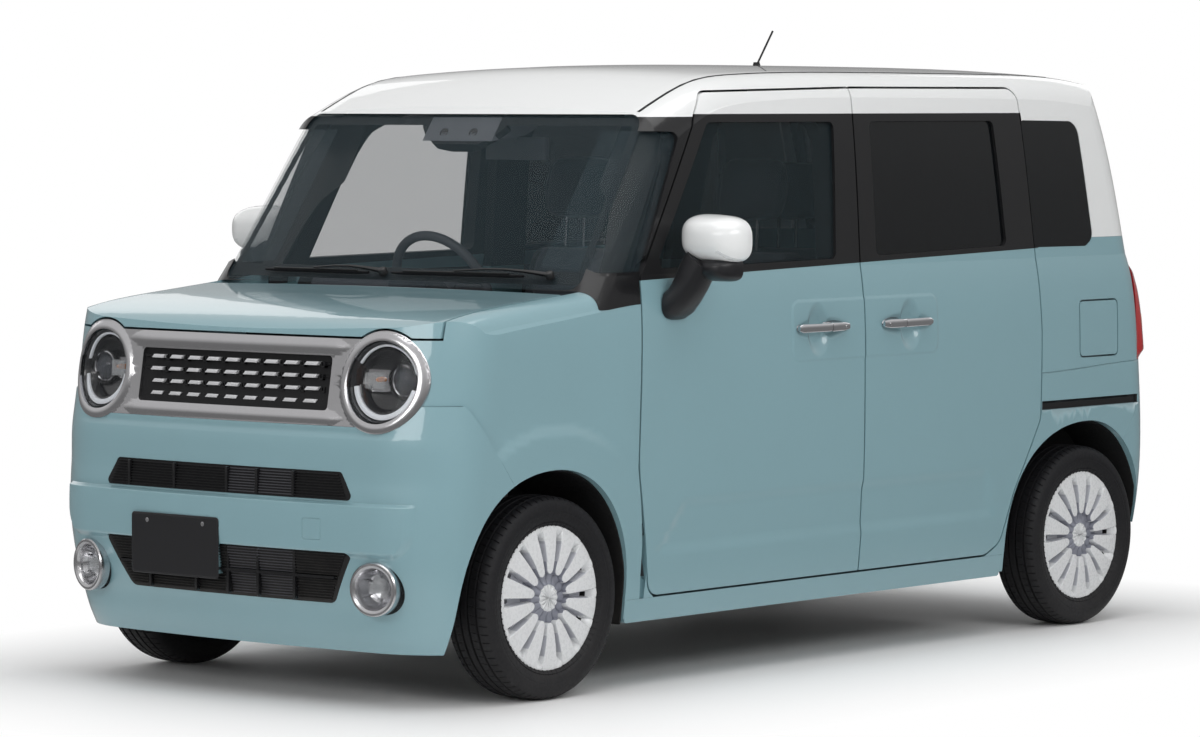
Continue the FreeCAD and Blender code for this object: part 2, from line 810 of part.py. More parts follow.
def side_frames():
    "Inner ring of each body side: sill, hinge post, middle and rear posts and roof rail."
    body = shell(cabin, wall + seat_gap, frame_depth)
    region = [
        (front_axle + 315, 178, 20),
        (front_axle + 325, belt_height - 40, 10),
        (door_front - 55, belt_height - 40, 10),
        (door_front + 222, window_top + 20, 20),
        (door_front + 222, height - 60, 10),
        (c_split + 120, height - 60, 10),
        (c_split + 20, belt_height, 60),
        (c_split + 20, 700, 60),
        (c_split - 150, 178, 20),
    ]
    zone = side_prism(region, 480, far)
    frame = body.common(zone)
    rebate = shell(cabin, 0, door_thickness + door_inner_gap).common(door_zone(shut_gap))
    wing_skin = shell(nose, -seat_gap, nose_wall + seat_gap)
    ahead_box = box(300, far, front_axle, door_front + 60, door_bottom - shut_gap + seat_gap, height)
    ahead = wing_skin.common(ahead_box)
    openings = [side_prism(front_opening, 0, far), side_prism(rear_opening, 0, far)]
    for tool in [rebate, ahead, front_arch, rear_arch, door_sweep()] + openings:
        frame = frame.cut(tool)
    sill = shell(cabin, 0, frame_depth).common(sill_zone(0)).cut(rear_arch).cut(front_arch)
    write("side_frames", pair(join(frame, sill, *door_hinges())))


# Nose panels

def bezel_zone(amount):
    ring = Part.makeCylinder(lamp_bezel_radius + amount, 500, V(lamp_x, front_end - 100, lamp_z), V(0, 1, 0))
    bar = front_prism(grow([(-lamp_x, surround_low, 5), (-lamp_x, surround_high, 5),
                            (lamp_x, surround_high, 5),
                            (lamp_x, surround_low, 5)], amount), front_end - 100, front_end + 400)
    return join(bar, ring, mirror(ring))


def seam_outline(amount):
    "Bumper corner below the wing in the side view."
    pts = [
        (front_end - 60, 100, 2),
        (front_end - 60, lamp_z - 60, 2),
        (front_end + 190, lamp_z - 60, 5),
        (front_axle - 150, 560, 60),
        (front_axle - 150, 100, 2),
    ]
    return grow(pts, amount)


def bonnet_zone(amount):
    return box(-bonnet_half - amount, bonnet_half + amount, front_end - 50, bonnet_rear + amount,
               surround_high + shut_gap - amount, cowl_height + 100)


def intake_outline(upper, amount=0.0):
    if upper:
        pts = [(-463, 548, 12), (-417, 622, 12), (417, 622, 12), (463, 548, 12)]
    else:
        pts = [(-377, 273, 30), (-461, 412, 12), (461, 412, 12), (377, 273, 30)]
    return grow(pts, amount)


def fog_hole(radius):
    return Part.makeCylinder(radius, 300, V(fog_x, front_end - 50, fog_z), V(0, 1, 0))


def plate_holes(x, y, z, direction):
    "The pair of screw holes for a number plate, opening at y."
    holes = []
    for side in (-1, 1):
        start = V(x + side * plate_hole_spacing / 2, y, z + plate_hole_rise)
        holes.append(Part.makeCylinder(plate_hole_radius, plate_hole_depth, start, V(0, direction, 0)))
    return Part.makeCompound(holes)


def front_plate_seat():
    half_plate = plate_width / 2 - 12
    block = box(plate_x - half_plate, plate_x + half_plate, plate_seat_y, front_end + 40,
                plate_z - plate_height / 2 + 14, plate_z + plate_height / 2 - 8)
    return block.cut(nose(12))


def nose_panels():
    skin = shell(nose, 0, nose_wall)
    lamp_cut = bezel_zone(panel_gap)
    seam = side_prism(seam_outline(0), -far, far)
    seam_cut = side_prism(seam_outline(panel_gap), -far, far)
    bumper = skin.common(seam)
    tools = [lamp_cut, front_arch, mirror(front_arch), bonnet_zone(shut_gap)]
    tools += [front_prism(intake_outline(True), front_end - 50, front_end + 300)]
    tools += [front_prism(intake_outline(False), front_end - 50, front_end + 300)]
    tools += [fog_hole(fog_radius), mirror(fog_hole(fog_radius))]
    for tool in tools:
        bumper = bumper.cut(tool)
    bumper = bumper.cut(box(-far, far, front_end - 100, front_axle, surround_high, height))
    bumper = join(bumper, front_plate_seat()).cut(plate_holes(plate_x, plate_seat_y, plate_z, 1))
    write("front_bumper", bumper)
    wing = skin.common(box(300, far, front_end - 50, door_front + 60, 190, belt_height + 20))
    door_cut = side_prism(grow(front_door_outline, shut_gap), 0, far)
    tools = [lamp_cut, seam_cut, front_arch, bonnet_zone(shut_gap), door_cut, sill_zone(panel_gap)]
    for tool in tools + [door_sweep()]:
        wing = wing.cut(tool)
    wing = wing.cut(box(0, bonnet_half + shut_gap, front_end, door_front + 100, surround_high, height))
    write("front_wings", pair(wing))
    bonnet = shell(nose, 0, bonnet_thickness).common(bonnet_zone(0)).cut(bezel_zone(shut_gap))
    arms = []
    for x in (bonnet_hinge_x, -bonnet_hinge_x - 18):
        low = bonnet_axis_z - 8
        arms.append(box(x, x + 18, bonnet_rear - 16, bonnet_axis_y - 7, low, bonnet_axis_z))
        arms.append(box(x, x + 18, bonnet_rear - 16, bonnet_rear - 4, low, bonnet_top - 18))
        arms.append(across(bonnet_pin_radius + 5.5, x, x + 18, bonnet_axis_y, bonnet_axis_z))
    bores = across(bonnet_pin_radius + pin_gap, -far, far, bonnet_axis_y, bonnet_axis_z)
    write("bonnet", join(bonnet, *arms).cut(bores))


def grille_and_lamps():
    hoop = shell(nose, -6, nose_wall).common(bezel_zone(0))
    opening = front_prism([(-grille_half, grille_low, 12), (-grille_half, grille_high, 12),
                           (grille_half, grille_high, 12), (grille_half, grille_low, 12)],
                          front_end - 100, front_end + 400)
    lamp_hole = Part.makeCylinder(lamp_radius, 500, V(lamp_x, front_end - 100, lamp_z), V(0, 1, 0))
    hoop = hoop.cut(opening).cut(lamp_hole).cut(mirror(lamp_hole))
    write("grille_surround", hoop)
    inner = front_prism(grow([(-grille_half, grille_low, 12), (-grille_half, grille_high, 12),
                              (grille_half, grille_high, 12), (grille_half, grille_low, 12)], -0.3),
                        front_end - 100, front_end + 400)
    mesh = shell(nose, 12, nose_wall).common(inner)
    write("grille", mesh)
    lens = Part.makeCylinder(lamp_radius - 0.3, 500, V(lamp_x, front_end - 100, lamp_z), V(0, 1, 0))
    lamp = shell(nose, 2, nose_wall + 60).common(lens)
    write("headlamps", pair(lamp))
    fog_ring = shell(nose, -4, nose_wall - 4).common(fog_hole(fog_radius - 0.3))
    write("fog_lamps", pair(fog_ring))
    skin = shell(nose, 14, nose_wall)
    upper = skin.common(front_prism(intake_outline(True, -pin_gap), front_end - 50, front_end + 300))
    lower = skin.common(front_prism(intake_outline(False, -pin_gap), front_end - 50, front_end + 300))
    write("intake_grilles", Part.makeCompound([upper, lower]))

# Wheels, tyres and what carries them

def turned(profile):
    "Solid of revolution about X from (x, radius) corners, centred on the origin."
    points = [V(x, 0, r) for x, r in profile]
    face = Part.Face(Part.makePolygon(points + [points[0]]))
    return face.revolve(V(0, 0, 0), V(1, 0, 0), 360)


def tyre():
    w = tyre_width / 2
    bead = rim_width / 2 - 1.5
    bore = rim_radius + seat_gap
    shoulder = tyre_radius - 36
    profile = [(-bead, bore), (bead, bore), (bead, rim_radius + rim_lip + 2),
               (w, shoulder), (w - 17, tyre_radius),
               (-w + 17, tyre_radius), (-w, shoulder)]
    return turned(profile)


def wheel():
    "Steel rim with its centre disc and the full cover pressed over it, seen from +X."
    b = rim_width / 2
    lip = rim_radius + rim_lip
    well = rim_radius - 9
    barrel = turned([(-b - 4, rim_radius - 6), (-b - 4, rim_radius), (b, rim_radius), (b, lip), (b + 3, lip),
                     (b + 3, well), (-b + 20, well)])
    disc = turned([(hub_face, 0), (hub_face + 6, 0), (hub_face + 6, well + 2), (hub_face, well + 2)])
    cover = turned([(hub_face + 6, 0), (hub_face + 10, 0), (hub_face + 10, 38), (hub_face + 15, 42),
                    (cover_face - 2, 74), (cover_face + 4, 110), (cover_face + 4, 160), (cover_face + 9, 186),
                    (cover_face + 8, cover_radius), (b + 3, cover_radius), (b + 3, 178), (cover_face, 160),
                    (cover_face, 110), (cover_face - 6, 78), (hub_face + 6, 42)])
    slots = []
    for i in range(cover_spokes):
        slot = Part.makeBox(200, 13, 34, V(cover_face - 20, -6.5, 140))
        slot.rotate(V(0, 0, 0), V(1, 0, 0), 360.0 / cover_spokes * (i + 0.5))
        slots.append(slot)
    cover = cover.cut(Part.makeCompound(slots))
    return join(barrel, disc, cover)


wheel_places = {
    "front_left": (track_front / 2, front_axle),
    "front_right": (-track_front / 2, front_axle),
    "rear_left": (track_rear / 2, rear_axle),
    "rear_right": (-track_rear / 2, rear_axle),
}


def wheels():
    rubber = tyre()
    rim = wheel()
    for name, (x, y) in wheel_places.items():
        facing = [rim, rubber] if x > 0 else [mirror(rim), mirror(rubber)]
        write("wheel_" + name, placed(facing[0], x, y, tyre_radius))
        write("tyre_" + name, placed(facing[1], x, y, tyre_radius))


lower_ball = V(lower_ball_x, front_axle, lower_ball_z)
top_ball = V(strut_top_x, front_axle, top_ball_z)
steer_axis = (top_ball - lower_ball).normalize()
joint_ball = lower_ball + steer_axis * 25


def knuckle():
    "Left front upright with brake disc, hub and strut, steered as one."
    x_hub = track_front / 2 + hub_face - panel_gap
    hub = across(58, x_hub - 34, x_hub, front_axle, tyre_radius)
    disc = across(brake_radius, x_hub - 28, x_hub - 16, front_axle, tyre_radius)
    body = [(x_hub - 20, tyre_radius - 45, 10), (x_hub - 20, tyre_radius + 45, 10),
            (x_hub - 78, tyre_radius + 62, 15),
            (561, tyre_radius + 80, 10), (561, 520, 8), (521, 520, 8), (521, 330, 30),
            (lower_ball_x - 26, 205, 10), (lower_ball_x + 10, 196, 8)]
    upright = front_prism(body, front_axle - 24, front_axle + 24)
    caliper = box(x_hub - 52, x_hub - 4, front_axle + 62, front_axle + brake_radius + 12,
                  tyre_radius - 42, tyre_radius + 42)
    arm = plan_prism([(555, front_axle, 10), (600, front_axle, 10), (590, front_axle + 128, 14),
                      (566, front_axle + 128, 14)], 222, 240)
    low = V(541, front_axle, 430)
    along = top_ball - low
    tube = Part.makeCylinder(24, along.Length * 0.55, low, along)
    rod = Part.makeCylinder(10, along.Length, low, along)
    spring_low = low + along * 0.40
    spring = Part.makeCylinder(50, along.Length * 0.50, spring_low, along)
    bearing = Part.makeSphere(top_ball_radius, top_ball)
    socket = Part.makeSphere(ball_radius + pin_gap, joint_ball)
    stud_room = Part.makeCylinder(5.5, 30, joint_ball - steer_axis * 30, steer_axis)
    return join(upright, hub, disc, caliper, arm, tube, rod, spring, bearing).cut(socket).cut(stud_room)


def front_suspension():
    "Subframe, lower arms, steering rack and strut towers, all on the body."
    sub = plan_prism([(-270, front_axle - 60, 30), (-250, front_axle + 250, 30), (250, front_axle + 250, 30),
                      (270, front_axle - 60, 30)], 165, sub_top)
    arm = plan_prism([(230, front_axle - 35, 10), (230, front_axle + 245, 20), (290, front_axle + 245, 20),
                      (lower_ball_x - 30, front_axle + 26, 12), (lower_ball_x + 20, front_axle + 22, 16),
                      (lower_ball_x + 20, front_axle - 22, 16), (lower_ball_x - 40, front_axle - 24, 12),
                      (300, front_axle - 35, 10)], 172, 190)
    rack = across(24, -400, 400, front_axle + 170, sub_top + 23)
    horns = []
    for y in (front_axle - 55, front_axle + 215):
        horns.append(box(230, rail_x + 20, y, y + 30, sub_top - 18, sub_top))
        horns.append(box(rail_x - 20, rail_x + 20, y, y + 30, sub_top - 18, rail_low - seat_gap))
    ball = Part.makeSphere(ball_radius, joint_ball)
    stud = Part.makeCylinder(5, 25, lower_ball, steer_axis)
    side = [arm, ball, stud] + horns
    return join(sub, rack, *side, *[mirror(piece) for piece in side])


def front_structure():
    "Rails, strut towers, aprons, bumper beam and lamp panel ahead of the cabin."
    x0, x1 = rail_x - 25, rail_x + 25
    rail = box(x0, x1, front_end + 130, firewall_y - floor_thickness - seat_gap, rail_low, rail_low + 80)
    apron = box(x1 - 6, x1, front_axle - 170, front_axle + 155, rail_low + 40, strut_top_z)
    tower_low = liner_top + seat_gap
    tower_foot = V(strut_top_x + 8, front_axle, tower_low)
    tower = Part.makeCylinder(tower_radius, strut_top_z + 6 - tower_low, tower_foot)
    hollow = Part.makeCylinder(tower_radius - 8, 400, V(strut_top_x + 8, front_axle, strut_top_z - 400))
    beam = box(-520, 520, front_end + 90, front_end + 130, 400, 500)
    panel = box(-470, 470, front_end + 128, front_end + 150, 240, 700)
    whole = join(rail, mirror(rail), apron, mirror(apron), tower, mirror(tower), beam, panel)
    whole = whole.cut(hollow).cut(mirror(hollow))
    cup = Part.makeCylinder(top_ball_radius + 9, 14, top_ball)
    seat_room = Part.makeSphere(top_ball_radius + pin_gap, top_ball)
    return join(whole, cup, mirror(cup)).cut(seat_room).cut(mirror(seat_room))


def engine():
    return box(-300, 250, front_axle - 175, front_axle + 110, sub_top + seat_gap, 820)


def radiator():
    return box(-330, 330, front_end + 150 + seat_gap, front_end + 195, 250, 690)


def liners():
    "Dark arch liners over all four wheels."
    front = egg_shell(front_axle, 352.0, 308.0, liner_top, 424.0, half - 24)
    wall_plate = arch_cut(front_axle, 351.4, 307.4, liner_top - 0.6, 424.0, 428.0)
    wall_plate = wall_plate.common(box(400, far, front_axle - 500, front_axle + 500, 500, 700))
    front = join(front, wall_plate).common(box(400, far, front_axle - 500, front_axle + 500, 175, 700))
    hole = Part.makeCylinder(tower_radius - 8, 400, V(strut_top_x + 8, front_axle, 480))
    front = front.cut(hole).common(nose(8))
    rear = egg_shell(rear_axle, 400.0, 305.0, 621.0, 540.0, half - 24)
    rear_plate = arch_cut(rear_axle, 399.4, 304.4, 620.4, 540.0, 544.0)
    rear_plate = rear_plate.common(box(400, far, rear_axle - 500, rear_axle + 500, 420, 700))
    rear = join(rear, rear_plate).common(box(400, far, rear_axle - 500, rear_axle + 500, 200, 700))
    rear = rear.common(cabin(8))
    return Part.makeCompound([front, mirror(front), rear, mirror(rear)])


def egg_shell(axle, forward, behind, top, x0, x1):
    big = arch_cut(axle, forward - seat_gap, behind - seat_gap, top - seat_gap, x0, x1)
    small = arch_cut(axle, forward - 4 - seat_gap, behind - 4 - seat_gap, top - 4 - seat_gap, x0 - 10, x1 + 10)
    return big.cut(small)


def rear_suspension():
    "Twist beam with trailing arms, springs, dampers, hubs and drums."
    x_hub = track_rear / 2 + hub_face - panel_gap
    beam = plan_prism([(-470, rear_axle - 250, 10), (-470, rear_axle - 190, 10), (470, rear_axle - 190, 10),
                       (470, rear_axle - 250, 10)], 240, 300)
    arm = plan_prism([(430, rear_axle - 425, 20), (480, rear_axle - 425, 20), (530, rear_axle - 40, 40),
                      (530, rear_axle + 30, 20), (470, rear_axle + 30, 20)], 250, 296)
    stub = across(28, 500, x_hub - 60, rear_axle, tyre_radius)
    drum = across(100, x_hub - 78, x_hub - 20, rear_axle, tyre_radius)
    hub = across(55, x_hub - 30, x_hub, rear_axle, tyre_radius)
    under_boot = boot_floor - floor_thickness - seat_gap
    spring = Part.makeCylinder(48, under_boot - 290, V(455, rear_axle - 60, 290))
    damper = Part.makeCylinder(22, under_boot - 290, V(500, rear_axle + 10, 290))
    side = join(arm, stub, drum, hub, spring, damper)
    return join(beam, side, mirror(side))


def exhaust():
    run = Part.makeCylinder(22, 2100, V(-375, front_axle + 350, 196), V(0, 1, 0))
    muffler = across(62, -420, -60, rear_axle + 235, 285)
    riser = Part.makeCylinder(22, 250, V(-375, front_axle + 2440, 196), V(0, 0.95, 0.31))
    hangers = [box(-383, -367, y, y + 24, 200, floor_height - floor_thickness - seat_gap)
               for y in (front_axle + 500, front_axle + 1500)]
    hanger_top = boot_floor - floor_thickness - seat_gap
    hangers += [box(x, x + 16, rear_axle + 223, rear_axle + 247, 300, hanger_top)
                for x in (-380, -110)]
    return join(run, muffler, riser, *hangers)


def fuel_tank():
    return plan_prism([(-330, tank_front, 50), (-330, rear_axle - 440, 50), (400, rear_axle - 440, 50),
                       (400, tank_front, 50)], 190, seat_floor - floor_thickness - seat_gap)


# Floor, cowl and cabin fittings

def floor_pan():
    "Floor, toe board and bulkhead, stepped up under the rear seat and the luggage space."
    t = floor_thickness
    top = [(firewall_y, bulkhead_top), (firewall_y, 560), (front_axle + 360, floor_height),
           (rear_axle - 800, floor_height), (rear_axle - 740, seat_floor), (boot_step - 12, seat_floor),
           (boot_step, boot_floor), (rear_end - 75, boot_floor)]
    lower = [(y + (-t if z > floor_height + 1 and y < 0 else 0), z - t) for y, z in reversed(top)]
    lower[-1] = (firewall_y - t, bulkhead_top)
    points = [V(-410, y, z) for y, z in top + lower]
    middle = Part.Face(Part.makePolygon(points + [points[0]])).extrude(V(820, 0, 0))
    side_half = half_width(floor_height - t) - frame_depth - seat_gap
    wide = [(front_axle + 318, floor_height - t, 1), (front_axle + 318, 900, 1), (front_axle + 330, 900, 1),
            (front_axle + 330, floor_height, 1), (rear_axle - 760, floor_height, 1),
            (rear_axle - 760, floor_height - t, 1)]
    side = side_prism(wide, 400, side_half)
    step = side_prism([(rear_axle - 772, floor_height - t, 1), (rear_axle - 772, seat_floor, 1),
                       (rear_axle - 412, seat_floor, 1), (rear_axle - 412, seat_floor - t, 1),
                       (rear_axle - 760, seat_floor - t, 1),
                       (rear_axle - 760, floor_height - t, 1)], 400, side_half)
    boot = box(400, 539, boot_step - t, rear_end - 75, boot_floor - t, boot_floor)
    riser = box(400, 539, boot_step - t, boot_step, seat_floor - t, boot_floor)
    ledge = box(400, 539, rear_axle - 420, boot_step, seat_floor - t, seat_floor)
    boot_side = box(539, 600, rear_axle + 312, rear_end - 75, boot_floor - t, boot_floor)
    sill_panel = box(-tailgate_half + 60, tailgate_half - 60, rear_end - 75, rear_end - 63, boot_floor - 60,
                     tailgate_bottom - 12)
    pieces = [side, step, boot, riser, ledge, boot_side]
    whole = join(middle, sill_panel, *pieces, *[mirror(p) for p in pieces])
    tunnel = box(-70, 70, front_axle + 380, rear_axle - 760, floor_height - 1, floor_height + 60)
    return join(whole, tunnel, *seat_plinths())


def cowl():
    pts = [(bonnet_rear + shut_gap, bonnet_top - 48, 2), (bonnet_rear + shut_gap, bonnet_top - 20, 2),
           (cowl_y + 2, bonnet_top - 10, 2), (cowl_y + 2, bonnet_top - 48, 2)]
    end = bonnet_hinge_x - 6
    panel = side_prism(pts, -end, end).cut(cabin(-pin_gap))
    web = box(8 - end, end - 8, cowl_y - 12, cowl_y, bulkhead_top + seat_gap, bonnet_top - 40)
    shelf = box(8 - end, end - 8, cowl_y - 12, firewall_y, bulkhead_top + seat_gap, bulkhead_top + 12)
    ears = [box(end - 8, end, cowl_y - 12, bonnet_axis_y + 8, bonnet_axis_z - 8, bonnet_axis_z + 8),
            across(bonnet_pin_radius, end - 8, bonnet_hinge_x + 20, bonnet_axis_y, bonnet_axis_z)]
    return join(panel, web, shelf, *ears, *[mirror(ear) for ear in ears])


def dashboard():
    front = firewall_y + panel_gap
    pts = [(front, cowl_height - 62, 10), (dash_rear - 60, cowl_height - 40, 40),
           (dash_rear, cowl_height - 120, 40), (dash_rear - 10, 760, 30), (dash_rear - 70, 640, 30),
           (front + 180, 640, 30), (front, 900, 20)]
    body = side_prism(pts, -590, 590)
    corner = box(400 - seat_gap, far, firewall_y - 100, front_axle + 330 + seat_gap, 500, 900 + seat_gap)
    body = body.cut(corner).cut(mirror(corner))
    hood_pts = [(dash_rear - 200, cowl_height - 60, 5), (dash_rear - 150, cowl_height + 40, 25),
                (dash_rear - 10, cowl_height + 34, 25), (dash_rear - 20, cowl_height - 60, 5)]
    hood = side_prism(hood_pts, steering_x - 150, steering_x + 150)
    console = box(-110, 110, dash_rear - 120, dash_rear + 30, 560, 760)
    axis = steering_axis()
    hub = V(steering_x, steering_y, steering_z)
    column = Part.makeCylinder(34, 330, hub - axis * 395, axis)
    return join(body, hood, console, column)


def steering_axis():
    a = math.radians(column_angle)
    return V(0, math.cos(a), math.sin(a))


def steering_wheel():
    "Rim, hub and three spokes, set square to the column."
    rim = Part.makeTorus(steering_wheel_radius - 14, 14, V(0, 0, 0), V(0, 0, 1))
    hub = Part.makeCylinder(58, 44, V(0, 0, -34))
    shaft = Part.makeCylinder(12, 40, V(0, 0, -65 + seat_gap))
    spokes = [Part.makeBox(steering_wheel_radius - 20, 34, 12, V(0, -17, -8)) for _ in range(3)]
    for spoke, angle in zip(spokes, (0, 180, 90)):
        spoke.rotate(V(0, 0, 0), V(0, 0, 1), angle)
    whole = join(rim, hub, shaft, *spokes)
    whole.rotate(V(0, 0, 0), V(1, 0, 0), -(90 - column_angle))
    return placed(whole, steering_x, steering_y, steering_z)


def seat(x, half_seat, y, base, back_height):
    "Cushion, raked backrest and headrest in one soft solid."
    cushion = [(y - 260, base - 110, 30), (y - 270, base + 10, 40),
               (y + 150, base - 10, 30), (y + 150, base - 110, 20)]
    back = [(y + 110, base - 60, 30), (y + 130, base + 100, 60), (y + 205, base + back_height, 35),
            (y + 290, base + back_height, 35), (y + 250, base - 70, 30)]
    rest = [(y + 195, base + back_height + 25, 30), (y + 215, base + back_height + 205, 35),
            (y + 290, base + back_height + 205, 35), (y + 292, base + back_height + 25, 30)]
    neck = box(x - 50, x + 50, y + 235, y + 255, base + back_height - 20, base + back_height + 60)
    backrest = side_prism(back, x - half_seat + 15, x + half_seat - 15)
    soft = join(side_prism(cushion, x - half_seat, x + half_seat), backrest)
    head = side_prism(rest, x - 125, x + 125)
    return join(soft, head, neck)


def front_seats():
    pieces = []
    for x in (front_seat_x, -front_seat_x):
        pieces.append(seat(x, 235, front_seat_y, seat_height, 560))
    return Part.makeCompound(pieces)


def seat_plinths():
    pieces = []
    for x in (front_seat_x, -front_seat_x):
        pieces.append(box(x - 200, x + 200, front_seat_y - 220, front_seat_y + 200, floor_height - 1,
                          seat_height - 110 - seat_gap))
    pieces.append(box(-480, 480, rear_seat_y - 230, rear_seat_y + 200, seat_floor - 1,
                      rear_seat_height - 110 - seat_gap))
    return pieces


def rear_seat():
    pieces = []
    for x in (rear_seat_x, -rear_seat_x):
        pieces.append(seat(x, rear_seat_x - 6, rear_seat_y, rear_seat_height, 520))
    return Part.makeCompound(pieces)


# Small outer pieces

def mirror_left():
    x, y, z = half + 125, door_front + 145, belt_height + 97
    cap = Part.makeBox(195, 105, 130, V(x - 95, y - 60, z - 65))
    cap = cap.makeFillet(34, cap.Edges)
    lower = box(x - 20, x + 85, y - 40, y + 30, z - 105, z - 40)
    stalk_pts = [(half - 38, belt_height - 30, 8), (half - 30, belt_height - 105, 20),
                 (half + 5, belt_height - 110, 20),
                 (half + 75, belt_height + 40, 10), (half + 35, belt_height + 40, 10)]
    stalk = front_prism(stalk_pts, y - 45, y + 35)
    return join(cap, lower, stalk).cut(cabin(-seat_gap))


def handle(y, z):
    "Pull handle bar with its two feet on the left side."
    x = half_width(z)
    bar_pts = [(y - handle_length / 2, z - 13, 12), (y - handle_length / 2, z + 13, 12),
               (y + handle_length / 2, z + 13, 12), (y + handle_length / 2, z - 13, 12)]
    bar = side_prism(bar_pts, x + 18, x + 32)
    feet = [box(x - 12, x + 24, y + s * (handle_length / 2 - 30) - 14, y + s * (handle_length / 2 - 30) + 14,
                z - 10, z + 10) for s in (-1, 1)]
    whole = join(bar, *feet)
    return whole.cut(cabin(-seat_gap))


def antenna():
    base = Part.makeCone(16, 9, 24, V(antenna_x, antenna_y, height - 14))
    rod = Part.makeCylinder(3, 130, V(antenna_x, antenna_y, height), V(0, 0.6, 0.8))
    return join(base, rod).cut(cabin(-2 * seat_gap))


def interior_mirror():
    glass = plan_prism([(-115, -12, 10), (-115, 12, 10), (115, 12, 10), (115, -12, 10)], -32, 32)
    glass = placed(glass, 0, cowl_y + 555, screen_top - 118)
    stay = Part.makeCylinder(9, 100, V(0, cowl_y + 555, screen_top - 110), V(0, -0.45, 0.9))
    housing_pts = [(cowl_y + 250, screen_top - 100, 10), (cowl_y + 440, screen_top - 80, 20),
                   (cowl_y + 560, window_top + 8, 10), (cowl_y + 300, window_top + 8, 10)]
    housing = side_prism(housing_pts, -130, 130)
    whole = join(glass, stay, housing)
    return whole.common(cabin(4 + glass_thickness + pin_gap))


rear_glass = doors()
skin = fixed_upper(rear_glass)
quarters(roof_and_sides(skin))
tailgate()
rear_bumper()
side_frames()
nose_panels()
grille_and_lamps()
wheels()
left_knuckle = knuckle()
write("knuckle_left", left_knuckle)
write("knuckle_right", mirror(left_knuckle))
write("front_suspension", front_suspension())
write("front_structure", front_structure())
write("engine", engine())
write("radiator", radiator())
write("arch_liners", liners())
write("rear_suspension", rear_suspension())
write("exhaust", exhaust())
write("fuel_tank", fuel_tank())
write("floor_pan", floor_pan())
write("cowl", cowl())
write("dashboard", dashboard())
write("steering_wheel", steering_wheel())
write("front_seats", front_seats())
write("rear_seat", rear_seat())
left_mirror = mirror_left()
write("mirror_left", left_mirror)
write("mirror_right", mirror(left_mirror))
front_handle = handle(front_handle_y, handle_z)
write("door_handle_left", front_handle)
write("door_handle_right", mirror(front_handle))
write("rear_door_handles", pair(handle(rear_handle_y, handle_z)))
write("antenna", antenna())
write("interior_mirror", interior_mirror())
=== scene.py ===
import bpy, bmesh
from math import copysign, cos, exp, hypot, pi, radians, sin, sqrt, tau
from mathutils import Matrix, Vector
from mathutils.bvhtree import BVHTree


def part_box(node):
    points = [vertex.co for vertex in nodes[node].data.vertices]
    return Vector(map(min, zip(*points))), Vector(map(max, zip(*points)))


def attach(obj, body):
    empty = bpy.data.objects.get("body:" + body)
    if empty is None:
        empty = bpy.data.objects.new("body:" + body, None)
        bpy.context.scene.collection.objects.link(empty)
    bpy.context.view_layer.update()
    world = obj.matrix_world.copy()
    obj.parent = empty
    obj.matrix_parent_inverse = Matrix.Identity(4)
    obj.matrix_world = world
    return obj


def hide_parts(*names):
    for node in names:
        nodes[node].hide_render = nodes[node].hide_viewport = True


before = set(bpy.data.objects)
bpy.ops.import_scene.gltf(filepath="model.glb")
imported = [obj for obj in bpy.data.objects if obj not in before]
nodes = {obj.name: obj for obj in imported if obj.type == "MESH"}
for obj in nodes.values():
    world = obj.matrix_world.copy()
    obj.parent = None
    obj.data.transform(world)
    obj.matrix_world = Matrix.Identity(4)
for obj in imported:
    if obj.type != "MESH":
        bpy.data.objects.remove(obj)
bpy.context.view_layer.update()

# The car's own datum lines, in metres: nose at -Y, left side at +X
front_axle, rear_axle = -1.1675, 1.2925
wheel_middle = 0.272
lamp_x, lamp_z = 0.521, 0.858
handle_z = 0.951
SIDES = ((1, "left"), (-1, "right"))
ON_BODY, ON_DOORS = ("body", "body"), ("door_left", "door_right")


# Materials

